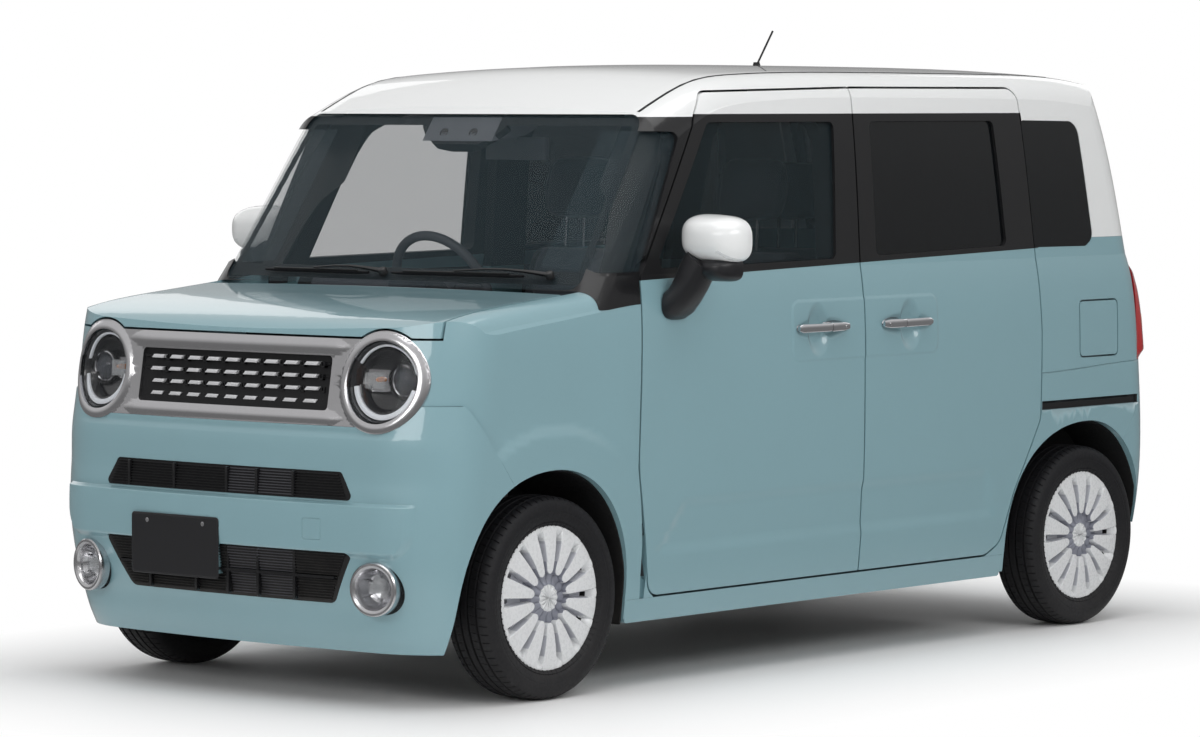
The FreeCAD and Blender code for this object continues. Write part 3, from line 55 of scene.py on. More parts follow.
class Nodes:
    "Short ways to add nodes to a material or to the world."

    def __init__(self, owner, coords="Object"):
        owner.use_nodes = True
        self.owner, self.tree = owner, owner.node_tree
        self.shader = self.tree.nodes.get("Principled BSDF") or self.tree.nodes["Background"]
        self.where = self.add("TexCoord").outputs[coords]
        self.xyz = self.add("SeparateXYZ", self.where).outputs

    def feed(self, socket, value):
        if isinstance(value, bpy.types.NodeSocket):
            self.tree.links.new(value, socket)
        elif value is not None:
            socket.default_value = value

    def add(self, kind, *inputs, **settings):
        "A node. inputs feeds its first sockets in order, settings its properties and its other sockets by name."
        made = self.tree.nodes.new("ShaderNode" + kind)
        for key, value in settings.items():
            if hasattr(made, key):
                setattr(made, key, value)
            else:
                self.feed(made.inputs[key], value)
        for socket, value in zip(made.inputs, inputs):
            self.feed(socket, value)
        return made

    def set(self, **values):
        "Feeds the shader's sockets."
        for key, value in values.items():
            self.feed(self.shader.inputs[key.replace("_", " ")], value)

    def math(self, operation, *values, clamp=False):
        return self.add("Math", *values, operation=operation, use_clamp=clamp).outputs[0]

    def noise(self, scale, detail=4.0, roughness=0.55):
        made = self.add("TexNoise", self.where, Scale=scale, Detail=detail, Roughness=roughness, Distortion=0.0)
        return made.outputs["Fac"]

    def remap(self, value, low, high, to_low, to_high):
        return self.add("MapRange", value, low, high, to_low, to_high).outputs["Result"]

    def mix(self, factor, a, b):
        made = self.add("Mix", factor, data_type="RGBA")
        for socket, value in ((made.inputs[6], a), (made.inputs[7], b)):
            self.feed(socket, (*value, 1.0) if isinstance(value, tuple) else value)
        return made.outputs[2]

    def bump(self, height, strength, distance=0.0004):
        made = self.add("Bump", Strength=strength, Distance=distance, Height=height)
        self.set(Normal=made.outputs["Normal"])

    def seen(self):
        "The kinds of rays, and 1 for those that show the white background: from the camera, or through glass."
        rays = self.add("LightPath").outputs
        return rays, self.math("MAXIMUM", rays["Is Camera Ray"], rays["Is Transmission Ray"])


def material(name):
    return Nodes(bpy.data.materials.new(name))


def times(colour, share):
    return tuple(min(c * share, 1.0) for c in colour)


def plain(name, colour, rough=0.5, metal=0.0, vary=0.08, grain=0.0, grain_scale=900.0, coat=0.0, spec=0.5, dust=0.0):
    "A material with soft colour and roughness variation, fine grain, and road dust low down where asked."
    look = material(name)
    tint = look.mix(look.noise(40.0), times(colour, 1 - vary), times(colour, 1 + vary))
    if dust:
        low = look.remap(look.xyz[2], 0.05, 0.55, dust, 0.0)
        tint = look.mix(look.math("MULTIPLY", low, look.noise(22.0, 6.0), clamp=True), tint, (0.3, 0.28, 0.25))
    worn = look.remap(look.noise(124.0, 3.0), 0.3, 0.7, max(rough * 0.85, 0.02), min(rough * 1.15, 1.0))
    look.set(Base_Color=tint, Roughness=worn, Metallic=metal, Specular_IOR_Level=spec, Coat_Weight=coat,
             Coat_Roughness=0.03)
    if grain:
        look.bump(look.noise(grain_scale, 2.0), grain)
    return look.owner


TEAL, WHITE = (0.232, 0.388, 0.432), (0.83, 0.84, 0.84)
BLACK, TRIM = (0.012, 0.012, 0.013), (0.075, 0.075, 0.078)
SASH_TOP = 1.553


def paint(name, base, *zones):
    "Clear-coated paint with flake sparkle. A zone is a colour and its masks: later zones lie over earlier ones."
    look = material(name)
    flake = look.noise(1400.0, 2.0, 0.7)
    tint = look.mix(look.remap(flake, 0.25, 0.75, 0.0, 1.0), times(base, 0.955), times(base, 1.03))
    tint = look.mix(look.remap(look.noise(3.0, 2.0), 0.2, 0.8, 0.0, 0.06), tint, times(base, 0.86))
    shine = 1.0
    for colour, first, *others in zones:
        share = first(look)
        for mask in others:
            share = look.math("MULTIPLY", share, mask(look))
        tint = look.mix(share, tint, colour)
        gloss = 0.12 if colour == BLACK else 1.0
        shine = look.add("Mix", share, None, shine, gloss, data_type="FLOAT").outputs[0]
    look.set(Base_Color=tint, Roughness=look.remap(flake, 0.3, 0.7, 0.3, 0.36), Coat_Weight=shine,
             Coat_Roughness=0.035, Specular_IOR_Level=0.35)
    look.bump(look.noise(260.0, 2.0), 0.012)
    return look.owner


# Masks, which are 1 inside their zone

def above(level, slope=0.0, at=0.0):
    "Above the straight line z = level + slope (y - at)."
    return lambda look: look.math("GREATER_THAN", look.xyz[2],
                                  look.math("MULTIPLY_ADD", look.xyz[1], slope, level - slope * at))


def under(axis, value):
    return lambda look: look.math("LESS_THAN", look.xyz[axis], value)


def over(axis, value):
    return lambda look: look.math("GREATER_THAN", look.xyz[axis], value)


def within(reach):
    "Nearer to the car's middle plane than this."
    return lambda look: look.math("LESS_THAN", look.math("ABSOLUTE", look.xyz[0]), reach)


def rear_post(look, slope=-0.14, at=1.12):
    "The black post behind the rear door, whose edges lean with height."
    y = look.math("ADD", look.xyz[1], look.math("MULTIPLY_ADD", look.xyz[2], -slope, slope * at))
    return look.math("MULTIPLY", look.math("GREATER_THAN", y, 0.9), look.math("LESS_THAN", y, 1.062))


belt = above(1.106, 0.024, -0.75)
door_paint = paint("paint_doors", TEAL, (TRIM, within(0.7055), under(2, 1.09), over(2, 0.3)), (BLACK, belt),
                   (WHITE, above(SASH_TOP)))
body_paint = paint("paint_body", TEAL)
white_paint = paint("paint_white", WHITE)
roof_paint = paint("paint_roof", WHITE, (BLACK, belt, rear_post, under(2, SASH_TOP)))
quarter_paint = paint("paint_quarter", TEAL, (TRIM, within(0.7), under(1, 1.48), under(2, 1.1)),
                      (BLACK, belt, rear_post),
                      (BLACK, above(0.664), under(2, 0.69), under(1, 1.57), over(1, 1.05), within(0.7315)))
tailgate_paint = paint("paint_tailgate", TEAL, (WHITE, above(1.176)),
                       (BLACK, above(1.176), under(2, 1.56), within(0.545)))
frame_paint = paint("paint_frame", TEAL, (BLACK, above(1.09)))
gloss_black = plain("gloss_black", (0.01, 0.01, 0.011), 0.22, spec=0.35, coat=0.2)
matte_black = plain("matte_black", (0.014, 0.014, 0.015), 0.6, grain=0.25, dust=0.2, spec=0.2)
grained = plain("grained_plastic", (0.03, 0.03, 0.032), 0.62, grain=0.5, grain_scale=650.0)
chrome = plain("bright_chrome", (0.68, 0.68, 0.7), 0.1, 1.0, 0.02)
satin = plain("satin_chrome", (0.62, 0.615, 0.63), 0.22, 1.0, 0.03)
under_steel = plain("black_steel", (0.03, 0.03, 0.032), 0.5, 0.3, grain=0.3, dust=0.6)
bare_steel = plain("bare_steel", (0.36, 0.35, 0.34), 0.42, 0.9, 0.15, dust=0.5)
alloy = plain("cast_alloy", (0.42, 0.43, 0.44), 0.5, 0.8, 0.12, 0.4, 300.0)
sealed = plain("sealed_floor", (0.06, 0.064, 0.064), 0.7, grain=0.5, grain_scale=180.0, dust=0.5)
rubber = plain("tyre_rubber", (0.008, 0.008, 0.01), 0.62, 0.0, 0.12, 0.3, 500.0, dust=0.05, spec=0.3)
cover_white = plain("cover_white", (0.74, 0.75, 0.76), 0.28, vary=0.02, coat=0.5)
# cover_grey is the cover's own grey on the dish round the emblem, and also painted shade on the spoke gap floors near
# the middle. cover_painted_shade is a lighter grey painted on the gap floors farther out as shade.
cover_grey = plain("cover_grey", (0.27, 0.28, 0.33), 0.42, 0.2, 0.04)
cover_painted_shade = plain("cover_painted_shade", (0.48, 0.49, 0.53), 0.34, vary=0.04)
cabin_grey = plain("cabin_grey", (0.13, 0.135, 0.15), 0.6, grain=0.1, grain_scale=350.0, spec=0.3)
cabin_dark = plain("cabin_plastic", (0.07, 0.075, 0.088), 0.75, grain=0.15, grain_scale=350.0, spec=0.25)
amber = plain("amber_lens", (0.75, 0.22, 0.02), 0.2, vary=0.05, coat=0.5)
red_lens = plain("red_lens", (0.42, 0.008, 0.01), 0.12, vary=0.12, coat=1.0)
mirror_glass = plain("mirror_glass", (0.75, 0.78, 0.8), 0.03, 1.0, 0.01)
lamp_white = plain("lamp_guide", (0.8, 0.83, 0.88), 0.2, vary=0.02, coat=0.4)
lamp_black = plain("lamp_housing", (0.014, 0.014, 0.016), 0.22, coat=0.5)
chrome_dark = plain("handle_foot", (0.3, 0.3, 0.31), 0.22, 1.0, 0.05)


def glass(name, colour, alpha, rough=0.02, spec=0.6):
    look = material(name)
    smear = look.noise(6.0, 3.0)
    look.set(Base_Color=look.mix(smear, times(colour, 0.92), colour), Alpha=alpha, Specular_IOR_Level=spec, IOR=1.5,
             Roughness=look.remap(smear, 0.3, 0.7, rough * 0.8, rough * 1.3))
    return look.owner


clear_glass = glass("clear_glass", (0.05, 0.082, 0.098), 0.15, spec=0.45)
door_window = glass("door_window", (0.022, 0.036, 0.042), 0.31, spec=0.45)
dark_glass = glass("privacy_glass", (0.004, 0.005, 0.006), 0.9)
lens_glass = glass("lamp_lens", (0.14, 0.15, 0.16), 0.1)
clear_part = glass("clear_part", (0.75, 0.78, 0.8), 0.3, 0.05)
ball_glass = glass("projector_glass", (0.1, 0.11, 0.13), 0.55)


def cloth(name, colour, axes=((0, 520.0), (2, 420.0))):
    "Seat cloth with woven ribs along two axes."
    look = material(name)
    ribs = None
    for axis, scale in axes:
        wave = look.add("TexWave", look.where, wave_type="BANDS", bands_direction="XYZ"[axis], Scale=scale / tau,
                        Distortion=0.6, Detail=1.0).outputs["Fac"]
        ribs = wave if ribs is None else look.math("MULTIPLY", ribs, wave)
    cloud = look.noise(28.0)
    tint = look.mix(ribs, look.mix(cloud, times(colour, 0.8), times(colour, 0.9)),
                    look.mix(cloud, colour, times(colour, 1.25)))
    look.set(Base_Color=tint, Roughness=look.remap(cloud, 0.3, 0.7, 0.8, 0.92), Sheen_Weight=0.25,
             Specular_IOR_Level=0.2)
    look.bump(ribs, 0.35, 0.0008)
    return look.owner


cloth_centre = cloth("seat_cloth_centre", (0.105, 0.115, 0.135))
cloth_side = cloth("seat_cloth_side", (0.06, 0.064, 0.072))

def smooth(mesh):
    mesh.polygons.foreach_set("use_smooth", [True] * len(mesh.polygons))


for names, mat in (
    ("front_door_left front_door_right rear_doors", door_paint),
    ("front_bumper front_wings bonnet rear_bumper fuel_lid", body_paint),
    ("quarter_panels", quarter_paint), ("roof", roof_paint), ("tailgate", tailgate_paint),
    ("side_frames", frame_paint), ("front_pillars", gloss_black),
    ("windscreen front_quarter_glass", clear_glass), ("door_glass_left door_glass_right", door_window),
    ("rear_side_glass tailgate_glass", dark_glass), ("headlamps fog_lamps", lens_glass), ("tail_lamps", red_lens),
    ("grille_surround", satin), ("grille intake_grilles arch_liners cowl antenna", matte_black),
    ("door_handle_left door_handle_right rear_door_handles", chrome), ("mirror_left mirror_right", white_paint),
    ("wheel_front_left wheel_front_right wheel_rear_left wheel_rear_right", cover_white),
    ("tyre_front_left tyre_front_right tyre_rear_left tyre_rear_right", rubber),
    ("knuckle_left knuckle_right exhaust", bare_steel),
    ("front_suspension front_structure rear_suspension fuel_tank", under_steel),
    ("engine radiator", alloy), ("floor_pan", sealed),
    ("dashboard front_seats rear_seat", cabin_dark), ("steering_wheel interior_mirror", cabin_grey),
):
    for name in names.split():
        mesh = nodes[name].data
        mesh.materials.clear()
        mesh.materials.append(mat)
        smooth(mesh)


# Camera, lights and floor

def into_scene(name, data):
    made = bpy.data.objects.new(name, data)
    bpy.context.scene.collection.objects.link(made)
    return made


def aimed(made, place_at, way):
    made.location = place_at
    made.rotation_mode = "QUATERNION"
    made.rotation_quaternion = Vector(way).to_track_quat("-Z", "Y")


lens = bpy.data.cameras.new("camera")
camera = into_scene("camera", lens)
lens.lens, lens.sensor_width, lens.sensor_fit, lens.clip_end = 145.05, 36.0, "HORIZONTAL", 200.0
aimed(camera, (9.0843, -10.8144, 1.5921), (-0.64656, 0.76085, -0.0555))
bpy.context.scene.camera = camera
bpy.context.scene.view_settings.view_transform = "Standard"

for name, place_at, aim, size, power in (
    ("ceiling", (1.0, -1.0, 6.5), (0, 0, 0.5), (7.0, 7.0), 240),
    ("side_panel", (8.0, -2.4, 4.6), (0, -0.6, 0.9), (5.0, 2.4), 162),
    ("nose_panel", (1.5, -9.5, 3.6), (0, -0.5, 0.7), (6.0, 2.2), 150),
    ("far_panel", (-8.0, 2.0, 4.0), (0, 0, 0.8), (7.0, 3.0), 40),
    ("tail_panel", (-1.0, 9.0, 4.0), (0, 0.5, 0.8), (6.0, 3.0), 50),
):
    light = bpy.data.lights.new(name, "AREA")
    light.shape, light.energy = "RECTANGLE", power
    light.size, light.size_y = size
    aimed(into_scene(name, light), place_at, Vector(aim) - Vector(place_at))

# The world is white to the camera and through glass, and a soft grey sky to everything else
world = bpy.data.worlds.new("studio")
bpy.context.scene.world = world
look = Nodes(world, "Generated")
rays, seen = look.seen()
glossy = rays["Is Glossy Ray"]
sky = look.math("MULTIPLY", glossy, look.remap(look.xyz[2], 0.02, 0.38, 0.22, 0.62))
fill = look.math("MULTIPLY", look.math("SUBTRACT", 1.0, glossy), 0.36)
look.set(Color=(1.0, 1.0, 1.0, 1.0), Strength=look.math("MAXIMUM", seen, look.math("ADD", sky, fill)))

# The floor keeps the shadow near the car, and turns white away from it
size = 60.0
floor_mesh = bpy.data.meshes.new("floor")
floor_mesh.from_pydata([(-size, -size, 0), (size, -size, 0), (size, size, 0), (-size, size, 0)], [], [(0, 1, 2, 3)])
floor = into_scene("floor", floor_mesh)
look = material("studio_floor")
look.set(Base_Color=look.mix(look.noise(1.5), (0.92, 0.92, 0.92), (0.95, 0.95, 0.95)), Roughness=0.55,
         Specular_IOR_Level=0.2)
outside = []
for k, reach in ((0, 0.75), (1, 1.7)):
    past = look.math("MAXIMUM", look.math("SUBTRACT", look.math("ABSOLUTE", look.xyz[k]), reach), 0.0)
    outside.append(look.math("MULTIPLY", past, past))
far = look.remap(look.math("SQRT", look.math("ADD", *outside)), 0.03, 0.85, 0.0, 1.0)
rays, seen = look.seen()
white = look.add("Emission", Strength=look.remap(seen, 0.0, 1.0, 0.2, 1.0))
share = look.math("MULTIPLY", far, look.math("MAXIMUM", seen, rays["Is Glossy Ray"]), clamp=True)
blend = look.add("MixShader", share, look.shader.outputs[0], white.outputs[0])
look.feed(look.tree.nodes["Material Output"].inputs["Surface"], blend.outputs[0])
floor_mesh.materials.append(look.owner)


# Mesh helpers

def ease(value, low, high):
    "From 0 at low to 1 at high, smoothly."
    t = min(max((value - low) / (high - low), 0.0), 1.0)
    return t * t * (3 - 2 * t)


def bent(value, power):
    return copysign(abs(value) ** power, value)


def oval(count, power=1.0):
    "Points round the unit circle, squarer with a power below 1."
    return [(bent(cos(tau * k / count), power), bent(sin(tau * k / count), power)) for k in range(count)]


def circle(radius, count=48, start=0.0, end=360.0):
    "Points on a circle, or on an arc of it with both its ends."
    turn = [radians(start + (end - start) * i / count) for i in range(count + (end - start < 360.0))]
    return [(radius * cos(t), radius * sin(t)) for t in turn]


def spread(low, high, step):
    count = max(int(round((high - low) / step)), 1)
    return [low + (high - low) * i / count for i in range(count + 1)]


def cleaned(mesh):
    bm = bmesh.new()
    bm.from_mesh(mesh)
    bmesh.ops.remove_doubles(bm, verts=bm.verts, dist=1e-5)
    bmesh.ops.recalc_face_normals(bm, faces=bm.faces)
    bm.to_mesh(mesh)
    bm.free()


class Shape:
    "Collects points and faces of several forms for one piece. slots gives each face its material's number."

    def __init__(self):
        self.verts, self.faces, self.slots = [], [], []

    def rings(self, rings, slot=0, wrap=True, cap_start=False, cap_end=False):
        "Quads between rings of points, closed round where wrap is set, with faces over the ends where asked."
        start, count = len(self.verts), len(rings[0])
        for ring in rings:
            self.verts.extend(Vector(p) for p in ring)
        faces = []
        for i in range(len(rings) - 1):
            for j in range(count if wrap else count - 1):
                a, b = start + i * count + j, start + i * count + (j + 1) % count
                faces.append((a, b, b + count, a + count))
        if cap_start:
            faces.append(tuple(range(start, start + count)))
        if cap_end:
            last = start + (len(rings) - 1) * count
            faces.append(tuple(range(last, last + count)))
        self.faces += faces
        self.slots += [slot] * len(faces)

    def sheet(self, rows, slot=0):
        self.rings(rows, slot, False)

    def solid(self, rings, slot=0):
        self.rings(rings, slot, True, True, True)

    def block(self, low, high, slot=0, r=0.001):
        "A box with its edges rounded by a small cut, standing on the axes."
        cx, cy, cz = ((a + b) / 2 for a, b in zip(low, high))
        dx, dy, dz = ((b - a) / 2 for a, b in zip(low, high))
        rings = []
        for z, ax, ay in ((-dz, dx - r, dy - r), (-dz + r * 0.3, dx - 0.3 * r, dy - 0.3 * r), (-dz + r, dx, dy),
                          (dz - r, dx, dy), (dz - r * 0.3, dx - 0.3 * r, dy - 0.3 * r), (dz, dx - r, dy - r)):
            cut = min(r, ax * 0.5, ay * 0.5)
            rings.append([(cx + sx * (ax - (cut if k else 0)), cy + sy * (ay - (0 if k else cut)), cz + z)
                          for sx, sy in ((1, 1), (-1, 1), (-1, -1), (1, -1))
                          for k in ((0, 1) if sx == sy else (1, 0))])
        self.solid(rings, slot)

    def turned(self, profile, origin, axis, slot=0, count=64):
        "A profile of (radius, distance along the axis) turned about the axis."
        axis, origin = Vector(axis).normalized(), Vector(origin)
        side = axis.cross(Vector((0, 0, 1))).normalized()
        lift = side.cross(axis)
        self.rings([[origin + axis * along + (side * c + lift * s) * max(radius, 1e-5) for c, s in oval(count)]
                    for radius, along in profile], slot)

    def tube(self, path, radii, slot=0, count=10, flat=1.0, up=(0, 0, 1)):
        "A bar along a path, with a radius for each point. flat squashes it along up."
        path = [Vector(p) for p in path]
        rings = []
        for i, (point, radius) in enumerate(zip(path, radii)):
            ahead = (path[min(i + 1, len(path) - 1)] - path[max(i - 1, 0)]).normalized()
            side = ahead.cross(Vector(up)).normalized()
            lift = side.cross(ahead)
            rings.append([point + side * radius * c + lift * radius * flat * s for c, s in oval(count)])
        self.solid(rings, slot)

    def moved(self, change, flip):
        "A copy whose points are changed. flip turns its faces over, for a mirror image."
        other = Shape()
        other.verts = [Vector(change(v)) for v in self.verts]
        other.faces = [tuple(reversed(f)) for f in self.faces] if flip else self.faces
        other.slots = self.slots
        return other

    def made(self, name, mats, body, sharp=35.0):
        "The piece, which rides on a body."
        mesh = bpy.data.meshes.new(name)
        mesh.from_pydata([tuple(v) for v in self.verts], [], self.faces)
        for mat in mats:
            mesh.materials.append(mat)
        mesh.polygons.foreach_set("material_index", self.slots)
        cleaned(mesh)
        smooth(mesh)
        mesh.set_sharp_from_angle(angle=radians(sharp))
        made = into_scene(name, mesh)
        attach(made, body)
        return made


def for_sides(shape, name, mats, bodies, sharp=35.0):
    "The same form on the left and, mirrored, on the right."
    right = shape.moved(lambda v: (-v.x, v.y, v.z), True)
    return shape.made(name + "_left", mats, bodies[0], sharp), right.made(name + "_right", mats, bodies[1], sharp)


# Surfaces that lie on the body, found by casting onto the frame

def tree_of(*names):
    points, faces = [], []
    for name in names:
        start, mesh = len(points), nodes[name].data
        points += [v.co.copy() for v in mesh.vertices]
        faces += [tuple(start + i for i in p.vertices) for p in mesh.polygons]
    return BVHTree.FromPolygons(points, faces)


def cast(tree, origin, direction):
    return tree.ray_cast(Vector(origin), Vector(direction).normalized())[:2]


def on_face(tree, x, z, proud=0.0, missing=0.0, way=1):
    "The point at x and z on what shows from the front (way 1) or from behind (-1), moved out by proud."
    point, normal = cast(tree, (x, -2.0 if way > 0 else 3.0, z), (0, way, 0))
    if point is None:
        return Vector((x, missing, z))
    return point + (-normal if normal.y * way > 0 else normal) * proud


class Skin:
    "Flat coordinates (a to the outside, b up) laid over a surface, seen along one direction."

    def __init__(self, tree, middle, outward):
        self.tree = tree
        self.out = Vector(outward).normalized()
        self.up = (Vector((0, 0, 1)) - self.out * self.out.z).normalized()
        self.side = self.up.cross(self.out)
        self.middle = cast(tree, Vector(middle) + self.out * 0.5, -self.out)[0]

    def flat(self, a, b, depth=0.0):
        return self.middle + self.side * a + self.up * b - self.out * depth

    def at(self, a, b, depth=0.0):
        "On the surface, or on the flat where the surface ends or falls away."
        start = self.middle + self.side * a + self.up * b + self.out * 0.4
        point = cast(self.tree, start, -self.out)[0]
        if point is None or (point - start).length > 0.55:
            point = self.middle + self.side * a + self.up * b
        return point - self.out * depth


# Wheels and tyres

spokes = 14
pitch = tau / spokes


def spoke_width(r):
    width = 0.0195 + (r - 0.07) / 0.12 * 0.0375
    if r < 0.078:
        width *= sqrt(max(1 - ((0.078 - r) / 0.0125) ** 2, 0.0))
    return width


def gap_depth(r):
    if r < 0.062:
        return 0.013
    if r < 0.15:
        return 0.013 + 0.011 * sin(pi * (r - 0.062) / 0.176)
    return 0.024 * (1 - ease(r, 0.152, 0.188)) + 0.001


def cover_form():
    "One full wheel cover, as (x outward, y, z) about the wheel's centre, with its rim and hub behind it."
    radii = (0.0, 0.012, 0.024, 0.031, 0.0345, 0.036, 0.044, 0.05, 0.056, 0.062, 0.0655, 0.0658, 0.067, 0.069, 0.072,
             0.0755, 0.08, 0.09, 0.1, 0.112, 0.125, 0.138, 0.1465, 0.147, 0.155, 0.163, 0.1635, 0.17, 0.177,
             0.182, 0.186, 0.189, 0.192, 0.1945, 0.1965, 0.1975)
    shape, rows = Shape(), []
    for r in radii:
        edge = spoke_width(r) / 2 / max(r, 0.01) if r > 0.0656 else 0.0
        face = -0.001 + 0.005 * sin(pi * min(max((0.192 - r) / 0.15, 0), 1))
        low = -gap_depth(r)
        if r >= 0.189:
            face = low = -0.001 - 9.0 * max(r - 0.1905, 0.0) ** 1.35
        elif r <= 0.036:
            face = low = -0.006 + 0.0015 * (1 - (r / 0.036) ** 2) - (0.003 if 0.0335 < r < 0.0355 else 0.0)
        elif r < 0.0656:
            face = low = -0.013 + 0.005 * exp(-((r - 0.04) / 0.006) ** 2)
        bevel, foot = 0.0011 / max(r, 0.02), 0.0036 / max(r, 0.02)
        rest = pitch / 2 - edge - foot
        offsets = [(0.0, face), (edge * 0.55, face), (edge, face - 0.0004), (edge + bevel, face - 0.0022),
                   (edge + foot, low), (edge + foot + rest * 0.5, low + 0.0008), (pitch / 2, low + 0.0012)]
        full = [(-a, h) for a, h in reversed(offsets[1:-1])] + offsets
        vent = [0.022 if 0.1466 < r < 0.1633 and n >= 9 else 0.0 for n in range(len(full))]
        rows.append([(h - deep, -sin(k * pitch + a) * r, cos(k * pitch + a) * r)
                     for k in range(spokes) for (a, h), deep in zip(full, vent)])
    shape.rings(rows)
    columns = len(rows[0])
    # Slot 1 is the grey dish, and painted shade on the gap floors and walls near the middle. Slot 3 is a lighter
    # painted shade on the gap floors and walls farther out. Slot 2 is the vents.
    for i, r in enumerate(radii[:-1]):
        for j in range(columns):
            n = j % (columns // spokes)
            index = i * columns + j
            if 0.0345 < r < 0.0656 or (0.0656 <= r < 0.1 and (n < 1 or n >= 8)):
                shape.slots[index] = 1
            elif 0.1 <= r < 0.152 and (n < 2 or n >= 7):
                shape.slots[index] = 3
            if 0.1466 < r < 0.1632 and n >= 9:
                shape.slots[index] = 2
    rim = [(0.1975, -0.01), (0.1955, -0.018), (0.188, -0.022), (0.18, -0.03), (0.176, -0.06), (0.176, -0.118),
           (0.19, -0.122), (0.1975, -0.128), (0.1975, -0.134), (0.193, -0.134), (0.174, -0.122), (0.172, -0.07),
           (0.15, -0.062), (0.1, -0.05), (0.07, -0.058), (0.055, -0.075), (0.03, -0.076), (0.0, -0.076)]
    shape.turned(rim, (0, 0, 0), (1, 0, 0), 2, 96)
    return shape


def tyre_form(blocks=72):
    "Sidewalls with their steps, three grooves round the tread, and cross cuts that lean with the tread."
    half = [(0.19, 0.058), (0.197, 0.0655), (0.2015, 0.069), (0.2035, 0.0672), (0.2065, 0.07), (0.216, 0.0742),
            (0.227, 0.0768), (0.2285, 0.0763), (0.23, 0.0772), (0.238, 0.0775), (0.248, 0.076),
            (0.256, 0.0728), (0.2615, 0.069), (0.2655, 0.064), (0.2683, 0.058), (0.27, 0.051),
            (0.2706, 0.045), (0.2645, 0.0435), (0.2645, 0.039), (0.2712, 0.0375), (0.2718, 0.027),
            (0.272, 0.0165), (0.2655, 0.015), (0.2655, 0.0105), (0.272, 0.009), (0.272, 0.0)]
    shape, rows = Shape(), []
    for r, u in half + [(r, -u) for r, u in reversed(half[:-1])]:
        row = []
        for k in range(blocks):
            for part, share in enumerate((0.0, 0.42, 0.8, 0.86, 0.97)):
                lag = 0.35 if u < 0 else 0.0
                angle = tau * (k + share + lag + 0.55 * abs(u) / 0.07) / blocks
                cut = 0.0
                if part >= 3 and 0.046 < abs(u) < 0.069:
                    cut = 0.003
                elif part >= 3 and 0.026 < abs(u) < 0.038 and r > 0.27:
                    cut = 0.0022
                row.append((u, -sin(angle) * (r - cut), cos(angle) * (r - cut)))
        rows.append(row)
    shape.rings(rows)
    return shape


cover, tread = cover_form(), tyre_form()
cover_mats = [cover_white, cover_grey, matte_black, cover_painted_shade]
for end, axle in (("front", front_axle), ("rear", rear_axle)):
    for side, word in SIDES:
        spot = "%s_%s" % (end, word)
        wheel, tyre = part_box("wheel_" + spot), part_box("tyre_" + spot)
        face = (wheel[1][0] if side > 0 else -wheel[0][0]) - 0.004
        middle = abs(tyre[0][0] + tyre[1][0]) / 2
        for form, x, name, mats, sharp, node, slot in (
            (cover, face, "cover_", cover_mats, 28, "wheel_", "wheel_cover"),
            (tread, middle, "tread_", [rubber], 30, "tyre_", "tyre"),
        ):
            placed = form.moved(lambda v: (side * (x + v.x), axle + v.y, wheel_middle + v.z), side < 0)
            made = placed.made(name + spot, mats, "wheel_" + spot, sharp)
            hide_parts(node + spot)


# Headlamps: bowl, bright arcs, projector and turn lamp behind the lens

lamp_face = Skin(tree_of("headlamps"), (lamp_x, -1.6, lamp_z), (0.17, -1.0, 0.04))


